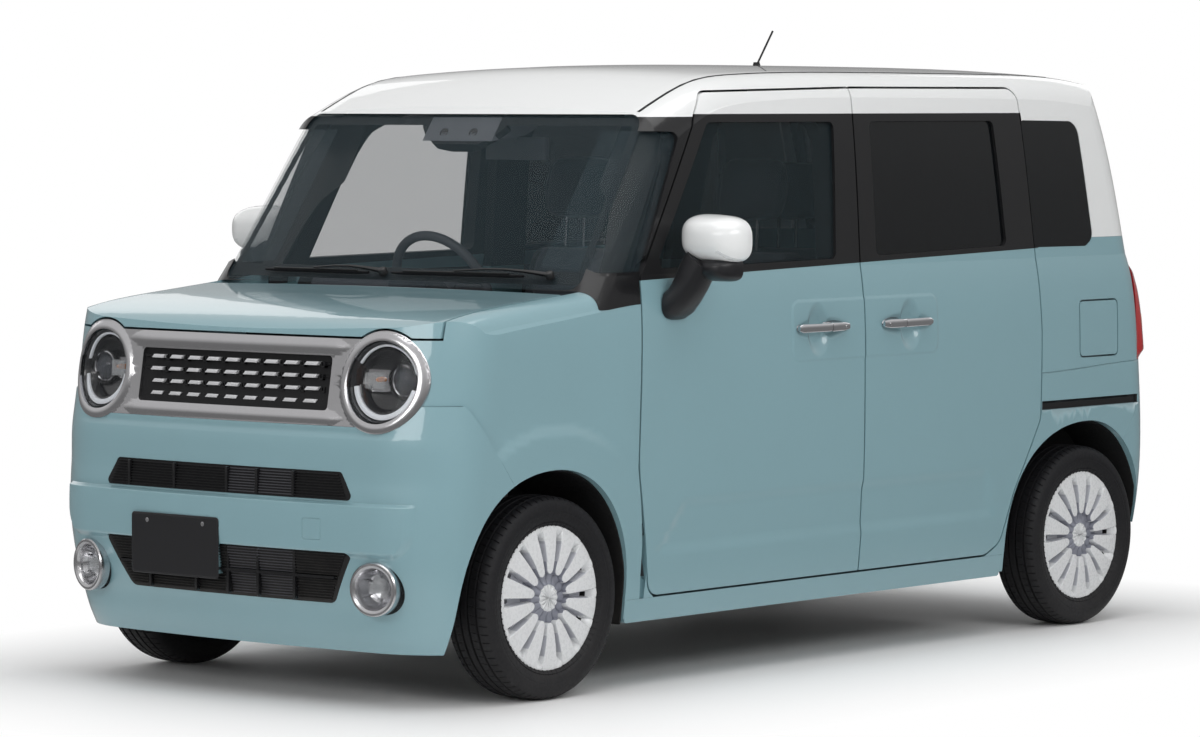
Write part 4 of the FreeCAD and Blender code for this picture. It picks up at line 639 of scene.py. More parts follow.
def lamp_form():
    shape, skin, axis = Shape(), lamp_face, Vector((0.0, -1.0, 0.0))
    bowl = []
    for radius, depth in ((0.1055, 0.0035), (0.1045, 0.008), (0.1, 0.017), (0.096, 0.026), (0.09, 0.042),
                          (0.06, 0.052), (0.02, 0.054), (0.0002, 0.054)):
        bowl.append([skin.at(a, b, depth) if radius > 0.05 else skin.flat(a, b, depth + 0.004)
                     for a, b in circle(radius)])
    shape.rings(bowl)

    def arc(start, end, steps, slot):
        shape.sheet([[skin.at(a, b, depth) for a, b in circle(radius, 40, start, end)]
                     for radius, depth in steps], slot)

    for start, end, inner, outer in ((188, 348, 0.085, 0.1), (14, 150, 0.0925, 0.099)):
        arc(start, end, ((inner, 0.021), (inner, 0.015), (inner + 0.001, 0.0125), ((inner + outer) / 2, 0.0112),
                         (outer - 0.001, 0.012), (outer, 0.014), (outer, 0.023)), 1)
    for start, end in ((186, 350), (12, 152)):
        arc(start, end, ((0.0835, 0.023), (0.0835, 0.018), (0.08, 0.019), (0.072, 0.04)), 0)
    middle = skin.flat(0.036, 0.002)
    shape.turned([(0.052, -0.075), (0.052, -0.04), (0.05, -0.036), (0.047, -0.034), (0.0455, -0.036),
                  (0.044, -0.046), (0.04, -0.05)], middle, axis, 0, 48)
    shape.turned([(0.0435, -0.046), (0.042, -0.0415), (0.0395, -0.0405), (0.0375, -0.0425), (0.034, -0.05),
                  (0.034, -0.06)], middle, axis, 2, 48)
    shape.turned([(0.034 * cos(t), -0.052 + 0.023 * sin(t)) for t in (pi / 2 * i / 10 for i in range(11))],
                 middle, axis, 3, 48)
    for i in range(-6, 7):
        a = -0.04 + i * 0.0048
        rows = []
        for b in (-0.02, -0.018, 0.0, 0.022, 0.024):
            depth = 0.028 if abs(b - 0.002) < 0.021 else 0.036
            rows.append([skin.flat(a + off, b, depth + back)
                         for off, back in ((-0.0022, 0.004), (-0.0012, 0), (0.0012, 0), (0.0022, 0.004))])
        shape.sheet(rows, 4)
    shape.sheet([[skin.flat(a, b, depth) for a in (-0.074, -0.072, -0.04, -0.008, -0.006)]
                 for b, depth in ((-0.026, 0.034), (-0.024, 0.052), (0.03, 0.052), (0.032, 0.034))], 2)
    bulb = [(0.0075 * cos(t), -0.046 + 0.016 * sin(t)) for t in (pi / 2 * i / 8 for i in range(9))]
    shape.turned([(0.0075, -0.06)] + bulb, skin.flat(-0.04, 0.004), axis, 5, 24)
    for i in range(9):
        b = 0.05 + 0.0045 * i
        reach = sqrt(max(0.08 ** 2 - b ** 2, 0.0001))
        shape.sheet([[skin.at(reach * (-1 + 2 * k / 12), b + up, depth)
                      for up, depth in ((0, 0.034), (0.0012, 0.03), (0.0024, 0.03), (0.0036, 0.034))]
                     for k in range(13)])
    return shape


for_sides(lamp_form(), "lamp_insides", [lamp_black, lamp_white, chrome, ball_glass, clear_part, amber], ON_BODY)


# Grille: rows of bright dashes over black bars

surround_tree = tree_of("grille_surround")
grille_half, curve_steps = 0.346, 14
front_curve = []
for i in range(curve_steps + 1):
    x = grille_half * i / curve_steps
    front_curve.append((on_face(surround_tree, x, 0.945) + on_face(surround_tree, x, 0.758)).y / 2)


def face_at(x):
    "How far forward the nose reaches beside the grille."
    at = min(abs(x) / grille_half, 1.0) * curve_steps
    low = min(int(at), curve_steps - 1)
    return front_curve[low] + (front_curve[low + 1] - front_curve[low]) * (at - low)


def grille_form(spacing=0.0715, lean=0.004, wide=0.0215, tall=0.005, bar=0.01235):
    shape = Shape()
    for row in range(4):
        z = 0.8015 + row * 0.033
        for k in range(-28, 28):
            rings = []
            for x in (k * bar, (k + 1) * bar):
                y = face_at(x) + 0.018
                rings.append([(x, y, z - 0.0032), (x, y, z + 0.0032), (x, y + 0.01, z + 0.0042),
                              (x, y + 0.01, z - 0.0042)])
            shape.rings(rings, 1, True, k == -28, k == 27)
        for k in range(-4, 5):
            x = k * spacing + (0.003 if row % 2 else -0.003)
            face = face_at(x) + 0.012
            tilt = (face_at(x + 0.02) - face_at(x - 0.02)) / 0.04
            rings = []
            for depth, share in ((0.008, 1.0), (-0.003, 1.0), (-0.0046, 0.86), (-0.005, 0.66)):
                w, h = wide - (1 - share) * 0.003, tall * share
                rings.append([(x + a, face + depth + tilt * a, z + c)
                              for a, c in ((-w - lean, -h), (w - lean, -h), (w + lean, h), (-w + lean, h))])
            shape.solid(rings)
            gap = wide + 0.0075
            for a in (gap, spacing - wide - 0.0115):
                y = face_at(x + a) + 0.01
                if abs(x + a) < 0.335:
                    shape.block((x + a, y, z - 0.0105), (x + a + 0.004, y + 0.014, z + 0.0045), 1, 0.0008)
            y = face_at(x + spacing / 2) + 0.01
            if abs(x + spacing / 2) < 0.33:
                shape.block((x + gap, y, z - 0.0105), (x + spacing - gap, y + 0.012, z - 0.0055), 1, 0.0008)
    return shape


dash_bright = plain("dash_bright", (0.78, 0.78, 0.8), 0.22, 0.35, 0.02, coat=0.5)
grille_form().made("grille_dashes", [dash_bright, gloss_black], "body", 30)


# Intakes: fine slats, a core that shines through on one side, and dividers that stand in the openings

intake_tree = tree_of("intake_grilles")
intakes = Shape()


def intake_y(x, z):
    return on_face(intake_tree, x, z, 0, -1.655).y


def strip(z, tall, x0, x1, out, mat):
    rings = []
    steps = max(int((x1 - x0) / 0.05), 2)
    for i in range(steps + 1):
        x = x0 + (x1 - x0) * i / steps
        y = intake_y(x, z)
        rings.append([(x, y + 0.003, z - tall), (x, y - out, z - tall * 0.6), (x, y - out, z + tall * 0.6),
                      (x, y + 0.003, z + tall)])
    intakes.solid(rings, mat)


core = (0.02, 0.26)
for low, high, left_low, left_high, count, posts in (
    (0.552, 0.618, 0.452, 0.42, 9, (-0.36, -0.18, 0.13)),
    (0.28, 0.408, 0.382, 0.452, 17, (-0.28, -0.1, 0.13)),
):
    for i in range(count):
        z = low + (high - low) * (i + 0.5) / count
        reach = left_low + (left_high - left_low) * (z - low) / (high - low) - 0.012
        strip(z, 0.0015, -reach, core[0], 0.006, 0)
        strip(z, 0.002, core[0] + 0.002, core[1] - 0.002, 0.003, 2)
        strip(z, 0.0015, core[1], reach, 0.006, 0)
    for x in posts + core:
        y = intake_y(x, (low + high) / 2)
        intakes.block((x - 0.0045, y - 0.01, low), (x + 0.0045, y + 0.003, high), 1)
strip(0.344, 0.006, -0.4, 0.4, 0.014, 1)
intakes.made("intake_slats", [matte_black, gloss_black, plain("intake_core", (0.05, 0.05, 0.058))], "body", 30)


# Fog lamps with bright rings

def fog_form():
    shape, skin = Shape(), Skin(tree_of("fog_lamps"), (0.533, -1.66, 0.321), (0.2, -1.0, 0.0))
    for profile, slot, count in (
        (((0.07, -0.022), (0.072, 0.0), (0.0712, 0.005), (0.068, 0.0085), (0.0625, 0.009), (0.056, 0.0055),
          (0.052, -0.002), (0.05, -0.012)), 0, 64),
        (((0.0502, -0.01), (0.047, -0.018), (0.038, -0.034), (0.024, -0.042), (0.0002, -0.044)), 1, 64),
        (((0.0245, -0.04), (0.0245, -0.018), (0.0235, -0.015), (0.02, -0.012), (0.01, -0.0095),
          (0.0002, -0.009)), 2, 48),
    ):
        shape.turned(profile, skin.middle, skin.out, slot, count)
    for k in range(6):
        angle = radians(60 * k + 30)
        a, b = cos(angle), sin(angle)
        shape.sheet([[skin.flat(a * radius - b * off, b * radius + a * off, 0.04 - (radius - 0.024) * 1.05 + back)
                      for off, back in ((0.002, 0.002), (0, -0.002), (-0.002, 0.002))]
                     for radius in (0.026, 0.034, 0.044)], 1)
    return shape


for_sides(fog_form(), "fog_insides", [satin, chrome, clear_part], ON_BODY, 30)


# Panels with their soft forms: a finer copy of a CAD panel, moved along one direction

def sculpt(name, zones, height, along, mat, body):
    """A copy of the panel, cut along planes, whose points then move by height(point) along one direction.
    A zone is its low and high corner, then pairs of an axis and the places of its planes. The shading starts
    from the panel's own normals."""
    old = nodes[name].data
    mesh = bpy.data.meshes.new("body_" + name)
    bm = bmesh.new()
    bm.from_mesh(old)
    keep = bm.loops.layers.float_vector.new("own")
    normals = [Vector(n.vector) for n in old.corner_normals]
    for loop, normal in zip((loop for face in bm.faces for loop in face.loops), normals):
        loop[keep] = normal
    bmesh.ops.remove_doubles(bm, verts=bm.verts, dist=1e-5)
    for low, high, *cuts in zones:
        low, high = Vector(low), Vector(high)
        faces = []
        for face in bm.faces:
            near = [v.co for v in face.verts]
            if all(max(c[k] for c in near) >= low[k] and min(c[k] for c in near) <= high[k] for k in range(3)):
                faces.append(face)
        geom = list({v for f in faces for v in f.verts}) + list({e for f in faces for e in f.edges}) + faces
        for axis, values in cuts:
            plane = Vector((0, 0, 0))
            plane[axis] = 1.0
            for value in values:
                geom = bmesh.ops.bisect_plane(bm, geom=geom, dist=1e-6, plane_co=plane * value,
                                              plane_no=plane)["geom"]
    bmesh.ops.triangulate(bm, faces=[f for f in bm.faces if len(f.verts) > 4])
    step = 4e-4
    nudges = [Vector((step, 0, 0)), Vector((0, step, 0)), Vector((0, 0, step))]
    moves = {}
    for vert in bm.verts:
        p = vert.co.copy()
        h = height(p)
        slope = Vector([(height(p + nudge) - h) / step for nudge in nudges])
        moves[vert] = (slope, Vector(along(p)), h)
    corner = []
    for face in bm.faces:
        flat = face.normal.copy()
        for loop in face.loops:
            own = Vector(loop[keep])
            if own.length < 0.5 or own.normalized().dot(flat) < 0.3:
                own = flat
            slope, way, h = moves[loop.vert]
            scale = 1.0 + way.dot(slope)
            turned = own - slope * (way.dot(own) / (scale if abs(scale) > 0.1 else 0.1))
            corner.append(tuple(turned.normalized()))
    for vert, (slope, way, h) in moves.items():
        vert.co += way * h
    bm.to_mesh(mesh)
    bm.free()
    mesh.materials.append(mat)
    smooth(mesh)
    mesh.normals_split_custom_set(corner)
    made = into_scene("body_" + name, mesh)
    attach(made, body)
    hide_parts(name)


def both_sides(*zones, order=-1):
    "The zones, and their mirror images on the right. order -1 keeps those images' planes across x in rising order."
    other = []
    for low, high, *cuts in zones:
        other.append(((-high[0], *low[1:]), (-low[0], *high[1:]),
                      *((axis, values if axis else [-v for v in values[::order]]) for axis, values in cuts)))
    return list(zones) + other


def outwards(p):
    return (1.0 if p.x > 0 else -1.0, 0.0, 0.0)


def backwards(p):
    return (0, 1, 0)


def lobe(y, z, y0, z0, half_y, half_z, depth):
    q = sqrt(((y - y0) / half_y) ** 2 + ((z - z0) / half_z) ** 2)
    return depth * (1 - ease(q, 0.45, 1.0))


def rounded_field(u, v, cu, cv, hu, hv, r):
    "Distance from the edge of a rounded rectangle, less than 0 inside."
    du, dv = abs(u - cu) - (hu - r), abs(v - cv) - (hv - r)
    return hypot(max(du, 0), max(dv, 0)) + min(max(du, dv), 0) - r


def door_height(p):
    "A raised field round the handles with two scoops, and a facet low down."
    y, z = p.y, p.z
    if abs(p.x) < 0.712 or z > 1.08:
        return 0.0
    h = 0.0
    if z > 0.83:
        h += 0.002 * (1 - ease(rounded_field(y, z, 0.185, 0.944, 0.345, 0.088, 0.035), -0.008, 0.0))
        for round_y, long_y in ((-0.04, -0.027), (0.392, 0.368)):
            h -= max(lobe(y, z, round_y, 0.945, 0.056, 0.079, 0.0155),
                     lobe(y, z, long_y + 0.002, 0.948, 0.122, 0.035, 0.008))
    elif z > 0.3:
        d = rounded_field(y, z, 0.06 + (z - 0.43) * 0.25, 0.432, 0.8 - (z - 0.35) * 0.55, 0.083, 0.03)
        h -= 0.006 * (1 - ease(d, -0.04, 0.0))
    return h


upper_z, lower_z = (2, spread(0.855, 1.035, 0.005)), (2, spread(0.335, 0.525, 0.011))
front_zones = both_sides(
    ((0.7, -0.2, 0.845), (0.76, 0.19, 1.045), (1, spread(-0.175, 0.175, 0.0055)), upper_z),
    ((0.7, -0.82, 0.3), (0.76, 0.19, 0.56), (1, spread(-0.79, 0.17, 0.03)), lower_z))
rear_zones = both_sides(
    ((0.7, 0.17, 0.845), (0.76, 0.56, 1.045), (1, spread(0.185, 0.545, 0.0055)), upper_z),
    ((0.7, 0.17, 0.3), (0.76, 1.0, 0.56), (1, spread(0.19, 0.94, 0.03)), lower_z))
sculpt("front_door_left", front_zones[:2], door_height, outwards, door_paint, "door_left")
sculpt("front_door_right", front_zones[2:], door_height, outwards, door_paint, "door_right")
sculpt("rear_doors", rear_zones, door_height, outwards, door_paint, "body")


def bumper_height(p):
    "The bar between the two openings stands proud of the rest, which is set back from it."
    z, x = p.z, abs(p.x)
    if p.y > -1.45:
        return 0.0
    low_end = 1 - min(max((z - 0.398) / 0.075, 0.0), 1.0)
    bar = (1 - ease(z, 0.536, 0.5445)) * ease(z, 0.398, 0.418)
    bar *= 1 - ease(x + 0.05 * low_end * low_end, 0.626, 0.644)
    around = ease(z, 0.17, 0.27) * (1 - ease(z, 0.585, 0.715)) * (1 - ease(p.y, -1.63, -1.5))
    plate_seat = 0.0
    if -0.332 < p.x < 0.009 and 0.311 < z < 0.487 and p.y < -1.68:
        plate_seat = 0.0024
        bar = 1.0 if p.y < -1.694 else bar
    h = 0.015 * (1 - bar) * around
    h += 0.0045 * (1 - ease(abs(z - 0.7235), 0.0, 0.016)) * (1 - ease(x, 0.5, 0.6))
    hook_cap = rounded_field(p.x, z, 0.336, 0.47, 0.031, 0.0275, 0.006)
    h += 0.0018 * (1 - ease(abs(hook_cap), 0.0006, 0.0019))
    return h + plate_seat


def fine(*middles):
    return [v for a in middles for v in spread(a - 0.0024, a + 0.0024, 0.0008)]


bumper_z = spread(0.17, 0.395, 0.018) + spread(0.4, 0.424, 0.004) + spread(0.436, 0.53, 0.016)
bumper_z += spread(0.535, 0.5445, 0.0016) + spread(0.56, 0.7, 0.014) + spread(0.7075, 0.74, 0.004)
bumper_zones = [((-0.76, -1.75, 0.15), (0.76, -1.4, 0.8), (2, bumper_z), (0, spread(-0.7, 0.7, 0.02)))]
bumper_zones += both_sides(((0.58, -1.75, 0.37), (0.68, -1.5, 0.58), (0, spread(0.6, 0.645, 0.003))), order=1)
bumper_zones.append(((0.28, -1.75, 0.43), (0.39, -1.66, 0.51), (0, fine(0.305, 0.367)), (2, fine(0.4425, 0.4975)),
                     (0, (0.308, 0.311, 0.3625, 0.3655)), (2, (0.446, 0.449, 0.491, 0.494))))
sculpt("front_bumper", bumper_zones, bumper_height, backwards, body_paint, "body")


def wing_height(p):
    "Round the wheel arch the panel stands proud, up to a soft crease."
    if abs(p.x) < 0.6 or p.z > 1.0:
        return 0.0
    reach = hypot((p.y - front_axle) * 0.985, p.z - wheel_middle)
    return -0.0095 * ease(reach, 0.43, 0.466) * ((1 - ease(p.y, -1.06, -0.86)) * (1 - ease(p.z, 0.74, 0.99)))


wing_zones = both_sides(((0.6, -1.66, 0.4), (0.76, -0.8, 1.0), (1, spread(-1.62, -0.84, 0.02)),
                         (2, spread(0.42, 0.98, 0.016))))
sculpt("front_wings", wing_zones, wing_height, outwards, body_paint, "body")


def quarter_height(p):
    "The sliding door's rail slot and the seam above it."
    if abs(p.x) < 0.7 or not 1.05 < p.y < 1.6:
        return 0.0
    ends = ease(p.y, 1.0535, 1.0555) * (1 - ease(p.y, 1.566, 1.572))
    slot = ease(p.z, 0.6635, 0.6655) * (1 - ease(p.z, 0.6885, 0.6905)) * ends
    seam_z = 0.775 + 0.018 * ease(p.y, 1.05, 1.57)
    seam = (1 - ease(abs(p.z - seam_z), 0.0008, 0.0022)) * ends
    return -0.012 * slot - 0.0035 * seam


quarter_zones = both_sides(
    ((0.69, 1.045, 0.655), (0.76, 1.6, 0.8), (2, (0.6635, 0.6645, 0.6655, 0.677, 0.6885, 0.6895, 0.6905)),
     (1, [1.0535, 1.0545, 1.0555, 1.566, 1.569, 1.572] + spread(1.075, 1.55, 0.0198))),
    ((0.69, 1.045, 0.765), (0.76, 1.6, 0.802), (2, spread(0.769, 0.799, 0.001))))
sculpt("quarter_panels", quarter_zones, quarter_height, outwards, quarter_paint, "body")


# Mirrors

def squircle(count, power, rx, rz, cx, cz, y, skew=0.0):
    ring = []
    for c, s in oval(count, 2 / power):
        x, z = cx + rx * c, cz + rz * s
        ring.append((x, y, z + skew * (x - cx)))
    return ring


def mirror_form(front_y=-0.7145, depth=0.098, skew=-0.045):
    "Painted cap, black back with its glass, foot below, turn lamp strip, and the stem down to the door."
    shape = Shape()

    def cap(t, grow=0.0):
        scale = (1 - (1 - t) ** 2.6) ** 0.42 * (1.0 - 0.035 * ease(t, 0.75, 1.0))
        return 0.108 * scale + grow, 0.0665 * scale + grow, 0.853 + 0.01 * (1 - scale), 1.2165 + 0.004 * (1 - scale)

    steps = (0.0, 0.004, 0.012, 0.03, 0.06, 0.1, 0.16, 0.24, 0.34, 0.46, 0.6, 0.74, 0.86, 0.95, 1.0)
    shape.rings([squircle(64, 3.0, *cap(t), front_y + depth * t, skew) for t in steps])
    rx, rz, cx, cz = cap(1.0)
    back = front_y + depth
    shape.rings([squircle(64, 3.0, rx - d, rz - d, cx, cz, back + y, skew)
                 for d, y in ((0, 0), (0.002, 0.002), (0.006, 0.002), (0.009, -0.004))], 1)
    shape.rings([squircle(64, 3.0, (rx - 0.009) * k, (rz - 0.009) * k, cx, cz, back - 0.004, skew)
                 for k in (1.0, 0.5, 0.001)], 2)
    foot = []
    for t in (0.0, 0.02, 0.08, 0.2, 0.4, 0.65, 0.85, 0.97, 1.0):
        scale = (1 - (1 - t) ** 2.4) ** 0.42
        ring = squircle(48, 3.2, 0.062 * scale, 0.037 * scale, 0.866 + 0.004 * (1 - scale), 1.1375,
                        -0.7005 + 0.083 * t)
        foot.append([(x, y, z - 0.1 * max(z - 1.13, 0)) for x, y, z in ring])
    shape.rings(foot, 1, True, False, True)
    patch = []
    for k in range(5):
        angle = -0.98 + 0.78 * k / 12
        row = []
        for t in (0.1, 0.14, 0.2, 0.3, 0.45, 0.62, 0.8):
            rx, rz, cx, cz = cap(t, 0.0012 if k else -0.0006)
            x, z = cx + rx * abs(cos(angle)) ** (2 / 3.0), cz + rz * bent(sin(angle), 2 / 3.0)
            row.append((x, front_y + depth * t, z + skew * (x - cx)))
        patch.append(row)
    shape.sheet(patch, 3)
    stem = []
    for x, z, y, wide, tall, lean in (
        (0.7335, 1.038, -0.669, 0.06, 0.043, 0.0), (0.74, 1.04, -0.669, 0.06, 0.045, 0.0),
        (0.756, 1.052, -0.669, 0.056, 0.043, 0.01), (0.776, 1.078, -0.669, 0.05, 0.04, 0.02),
        (0.796, 1.112, -0.668, 0.046, 0.036, 0.03), (0.815, 1.146, -0.666, 0.044, 0.03, 0.034),
        (0.826, 1.16, -0.665, 0.042, 0.026, 0.034),
    ):
        stem.append([(x - lean * s, y + wide * c, z + tall * s) for c, s in oval(28, 0.7)])
    shape.solid(stem, 1)
    return shape


mirror_mats = [white_paint, plain("mirror_black", (0.014, 0.014, 0.016), 0.34, spec=0.4), mirror_glass, clear_part]
shells = for_sides(mirror_form(), "mirror_shell", mirror_mats, ON_DOORS, 34)
handle_mats = [chrome, chrome_dark, satin]


# Door handles

def handle_form(start, end, cap_at_rear, base=0.733):
    "The pull on its foot, and the fixed end with its own foot and key cap."
    shape = Shape()
    length = end - start
    near, far_end = (start, end) if cap_at_rear else (end, start)
    way = 1 if cap_at_rear else -1
    span = length * 0.6
    first = near + way * (span + 0.0016)

    def section(x, y, deep, tall):
        return [(x + deep * c, y, handle_z + tall * s) for c, s in oval(24, 0.75)]

    rings = []
    for t in (0.0, 0.01, 0.04, 0.1, 0.2, 0.35, 0.5, 0.7, 0.9, 0.985, 1.0):
        tall = 0.0125 * (0.62 + 0.38 * ease(t, 0.0, 0.1)) - (0.001 if t == 1.0 else 0.0)
        deep = 0.007 * (0.7 + 0.3 * ease(t, 0.0, 0.1)) - (0.001 if t == 1.0 else 0.0)
        rings.append(section(base + 0.0105 + 0.0125 * sin(pi * (0.1 + 0.45 * t)), near + way * span * t, deep, tall))
    shape.solid(rings)
    foot = near + way * 0.016
    shape.solid([[(base - 0.006 + x, foot + 0.014 * share * c, handle_z + 0.0105 * share * s) for c, s in oval(20)]
                 for x, share in ((0.0, 1.25), (0.006, 1.15), (0.012, 1.0), (0.017, 0.9))], 1)
    rings = []
    for t in (0.0, 0.02, 0.3, 0.7, 0.92, 0.99, 1.0):
        tall = 0.013 * (1 - 0.35 * ease(t, 0.8, 1.0)) * (0.93 if t == 0.0 else 1.0)
        deep = 0.0072 * (1 - 0.45 * ease(t, 0.8, 1.0)) * (0.9 if t == 0.0 else 1.0)
        rings.append(section(base + 0.0225 - 0.0075 * ease(t, 0.1, 1.0), first + way * (length - span - 0.0016) * t,
                             deep, tall))
    shape.solid(rings)
    mid = (first + far_end) / 2
    reach = abs(far_end - first) / 2
    shape.solid([[(base - 0.006 + x, mid + way * shift + reach * share * c, handle_z + drop + 0.015 * share * s)
                  for c, s in oval(24)]
                 for x, share, shift, drop in ((0.0, 1.12, -0.006, 0.004), (0.008, 1.02, -0.004, 0.002),
                                               (0.014, 0.92, -0.001, 0.0), (0.019, 0.86, 0.0, 0.0))], 1)
    shape.turned([(0.0046, 0.0), (0.0046, 0.0012), (0.0038, 0.0018), (0.0002, 0.0018)],
                 (base + 0.0232, far_end - way * 0.022, handle_z), (1, 0, 0), 2, 24)
    return shape


pulls = for_sides(handle_form(-0.142, 0.088, True), "handle", handle_mats, ON_DOORS)
for shell, pull, (side, word) in zip(shells, pulls, SIDES):
    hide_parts("mirror_" + word)
    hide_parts("door_handle_" + word)
rear_left, rear_right = for_sides(handle_form(0.253, 0.484, False), "rear_handle", handle_mats, ON_BODY)
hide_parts("rear_door_handles")


# Wipers, sensor housing and plates

glass_tree = tree_of("windscreen", "cowl")
screen_tree = tree_of("windscreen")
wipers = Shape()
for tip_x, base_x, z, blade_share in ((-0.5, -0.03, 1.11, 0.88), (0.0, 0.56, 1.112, 0.84)):
    blade = [on_face(glass_tree, tip_x + (base_x - tip_x) * t * blade_share, z, 0.007, -1.05)
             for t in (i / 10 for i in range(11))]
    wipers.tube(blade, [0.0035] + [0.0052] * 9 + [0.0035], 0, 8)
    wipers.tube([p + Vector((0, -0.005, 0.005)) for p in blade[1:-1]], [0.003] * 9, 1, 8)
    middle = blade[5]
    pivot = on_face(glass_tree, base_x, z, 0.002, -1.05)
    arm = [middle + Vector((0, -0.008, 0.01))]
    for t in (0.15, 0.35, 0.55, 0.75, 0.9, 1.0):
        lift = 0.02 * sin(pi * (0.1 + 0.8 * t)) + 0.004
        arm.append(middle.lerp(pivot, t) + Vector((0, -lift * 0.7, lift * 0.8)))
    wipers.tube(arm, [0.004, 0.0045, 0.005, 0.006, 0.008, 0.0105, 0.0115], 1, 10, 0.6)
    wipers.turned([(0.013, -0.008), (0.013, 0.003), (0.0105, 0.008), (0.0055, 0.01), (0.0002, 0.0105)],
                  arm[-1], (0, -0.5, 0.86), 1, 24)
wipers.made("wipers", [rubber, plain("wiper_arm", (0.016, 0.016, 0.017), 0.4, spec=0.4)], "body", 40)


def behind_glass(x, z, depth):
    return on_face(screen_tree, x, z, -depth)


housing = Shape()
housing.solid([[behind_glass(half_wide * a, z, d)
                for a, d in ((-1, 0.007), (-1, 0.03), (-0.5, 0.045), (0.5, 0.045), (1, 0.03), (1, 0.007),
                             (0.5, 0.007), (-0.5, 0.007))]
               for z, half_wide in ((1.532, 0.15), (1.522, 0.158), (1.5, 0.135), (1.48, 0.098), (1.472, 0.085))])
for x in (-0.062, 0.048):
    housing.turned([(0.015, -0.001), (0.015, 0.0015), (0.011, 0.0018), (0.0085, 0.0008), (0.0002, 0.0022)],
                   behind_glass(x, 1.503, 0.0062), (0, -0.86, 0.5), 1, 24)
housing.made("sensor_housing", [matte_black, lamp_black], "body", 30)


def plate_form(x, y, z, way, thick=0.0016, wide=0.33, tall=0.165, round_by=0.011):
    "A blank number plate with a pressed rim and two screws."
    shape = Shape()

    def outline(at, inset, r):
        return [(x + sx * (wide / 2 - inset - r) + (r * cos(a)), at, z + sz * (tall / 2 - inset - r) + r * sin(a))
                for sx, sz, start in ((1, 1, 0), (-1, 1, 90), (-1, -1, 180), (1, -1, 270))
                for a in (radians(start + 18 * k) for k in range(6))]

    edge = ((0.0, 0.0008), (0.0005, 0.0), (thick - 0.0005, 0.0), (thick, 0.0008))
    shape.rings([outline(y + way * out, inset, round_by) for out, inset in edge], 0, True, True)
    face = y + way * thick
    shape.rings([outline(face + way * out, inset, max(round_by - inset, 0.001))
                 for out, inset in ((0.0, 0.0008), (0.0008, 0.002), (0.0008, 0.0042), (0.0, 0.0054), (0.0, 0.06))],
                0, True, False, True)
    for dx in (-0.105, 0.105):
        shape.turned([(0.0062, -0.0005), (0.0062, 0.0003), (0.0045, 0.0007), (0.0002, 0.0008)],
                     (x + dx, face, z + tall * 0.376), (0, way, 0), 1, 20)
    return shape


plate_mats = [plain("plate_black", (0.016, 0.016, 0.018), 0.38, vary=0.05, spec=0.4), satin]
plate_form(-0.1615, -1.6962, 0.399, -1, 0.0014).made("front_plate", plate_mats, "body", 30)
plate_form(0.0, 1.664, 0.704, 1).made("rear_plate", plate_mats, "tailgate", 30)


# Seats: cushions that are blown up softly by cloth simulation, then sewn

def pad(sections, half_x, power, way):
    "A closed form through rounded sections. A section is its place, near and far reach and share of the width."
    shape = Shape()
    shape.solid([[way(at, half_x * share * c, (low + high) / 2 + (high - low) / 2 * s)
                  for c, s in oval(36, 2 / power)] for at, low, high, share in sections])
    return shape


front_half, rear_half, front_tall, rear_tall = 0.221, 0.232, 0.575, 0.53
seam_share = 0.6
cushion = pad(((-0.262, -0.085, -0.015, 0.86), (-0.255, -0.098, 0.0, 0.94), (-0.225, -0.104, 0.004, 0.985),
               (-0.12, -0.106, -0.002, 1.0), (0.02, -0.106, -0.01, 1.0), (0.115, -0.104, -0.014, 0.99),
               (0.14, -0.098, -0.02, 0.96)), front_half, 5.0, lambda y, a, b: (a, y, b))


def back_point(s, a, b):
    z = s * front_tall / 0.58
    return a, 0.125 + 0.155 * (z + 0.03) + b, z - 0.045


backrest = pad(((0.01, 0.01, 0.105, 0.84), (0.035, 0.0, 0.12, 0.93), (0.1, -0.004, 0.128, 0.985),
                (0.24, -0.002, 0.124, 1.0), (0.4, 0.002, 0.112, 0.985), (0.52, 0.006, 0.098, 0.93),
                (0.565, 0.012, 0.088, 0.86), (0.58, 0.022, 0.076, 0.76)), front_half - 0.012, 4.5, back_point)
headrest = pad(((0.0, 0.02, 0.07, 0.7), (0.012, 0.008, 0.082, 0.88), (0.05, 0.0, 0.09, 0.98),
                (0.1, 0.0, 0.092, 1.0), (0.145, 0.006, 0.084, 0.94), (0.168, 0.016, 0.072, 0.82),
                (0.176, 0.028, 0.06, 0.66)), 0.118, 3.6,
               lambda s, a, b: (a, 0.198 + 0.155 * s + b, front_tall + 0.03 + s))


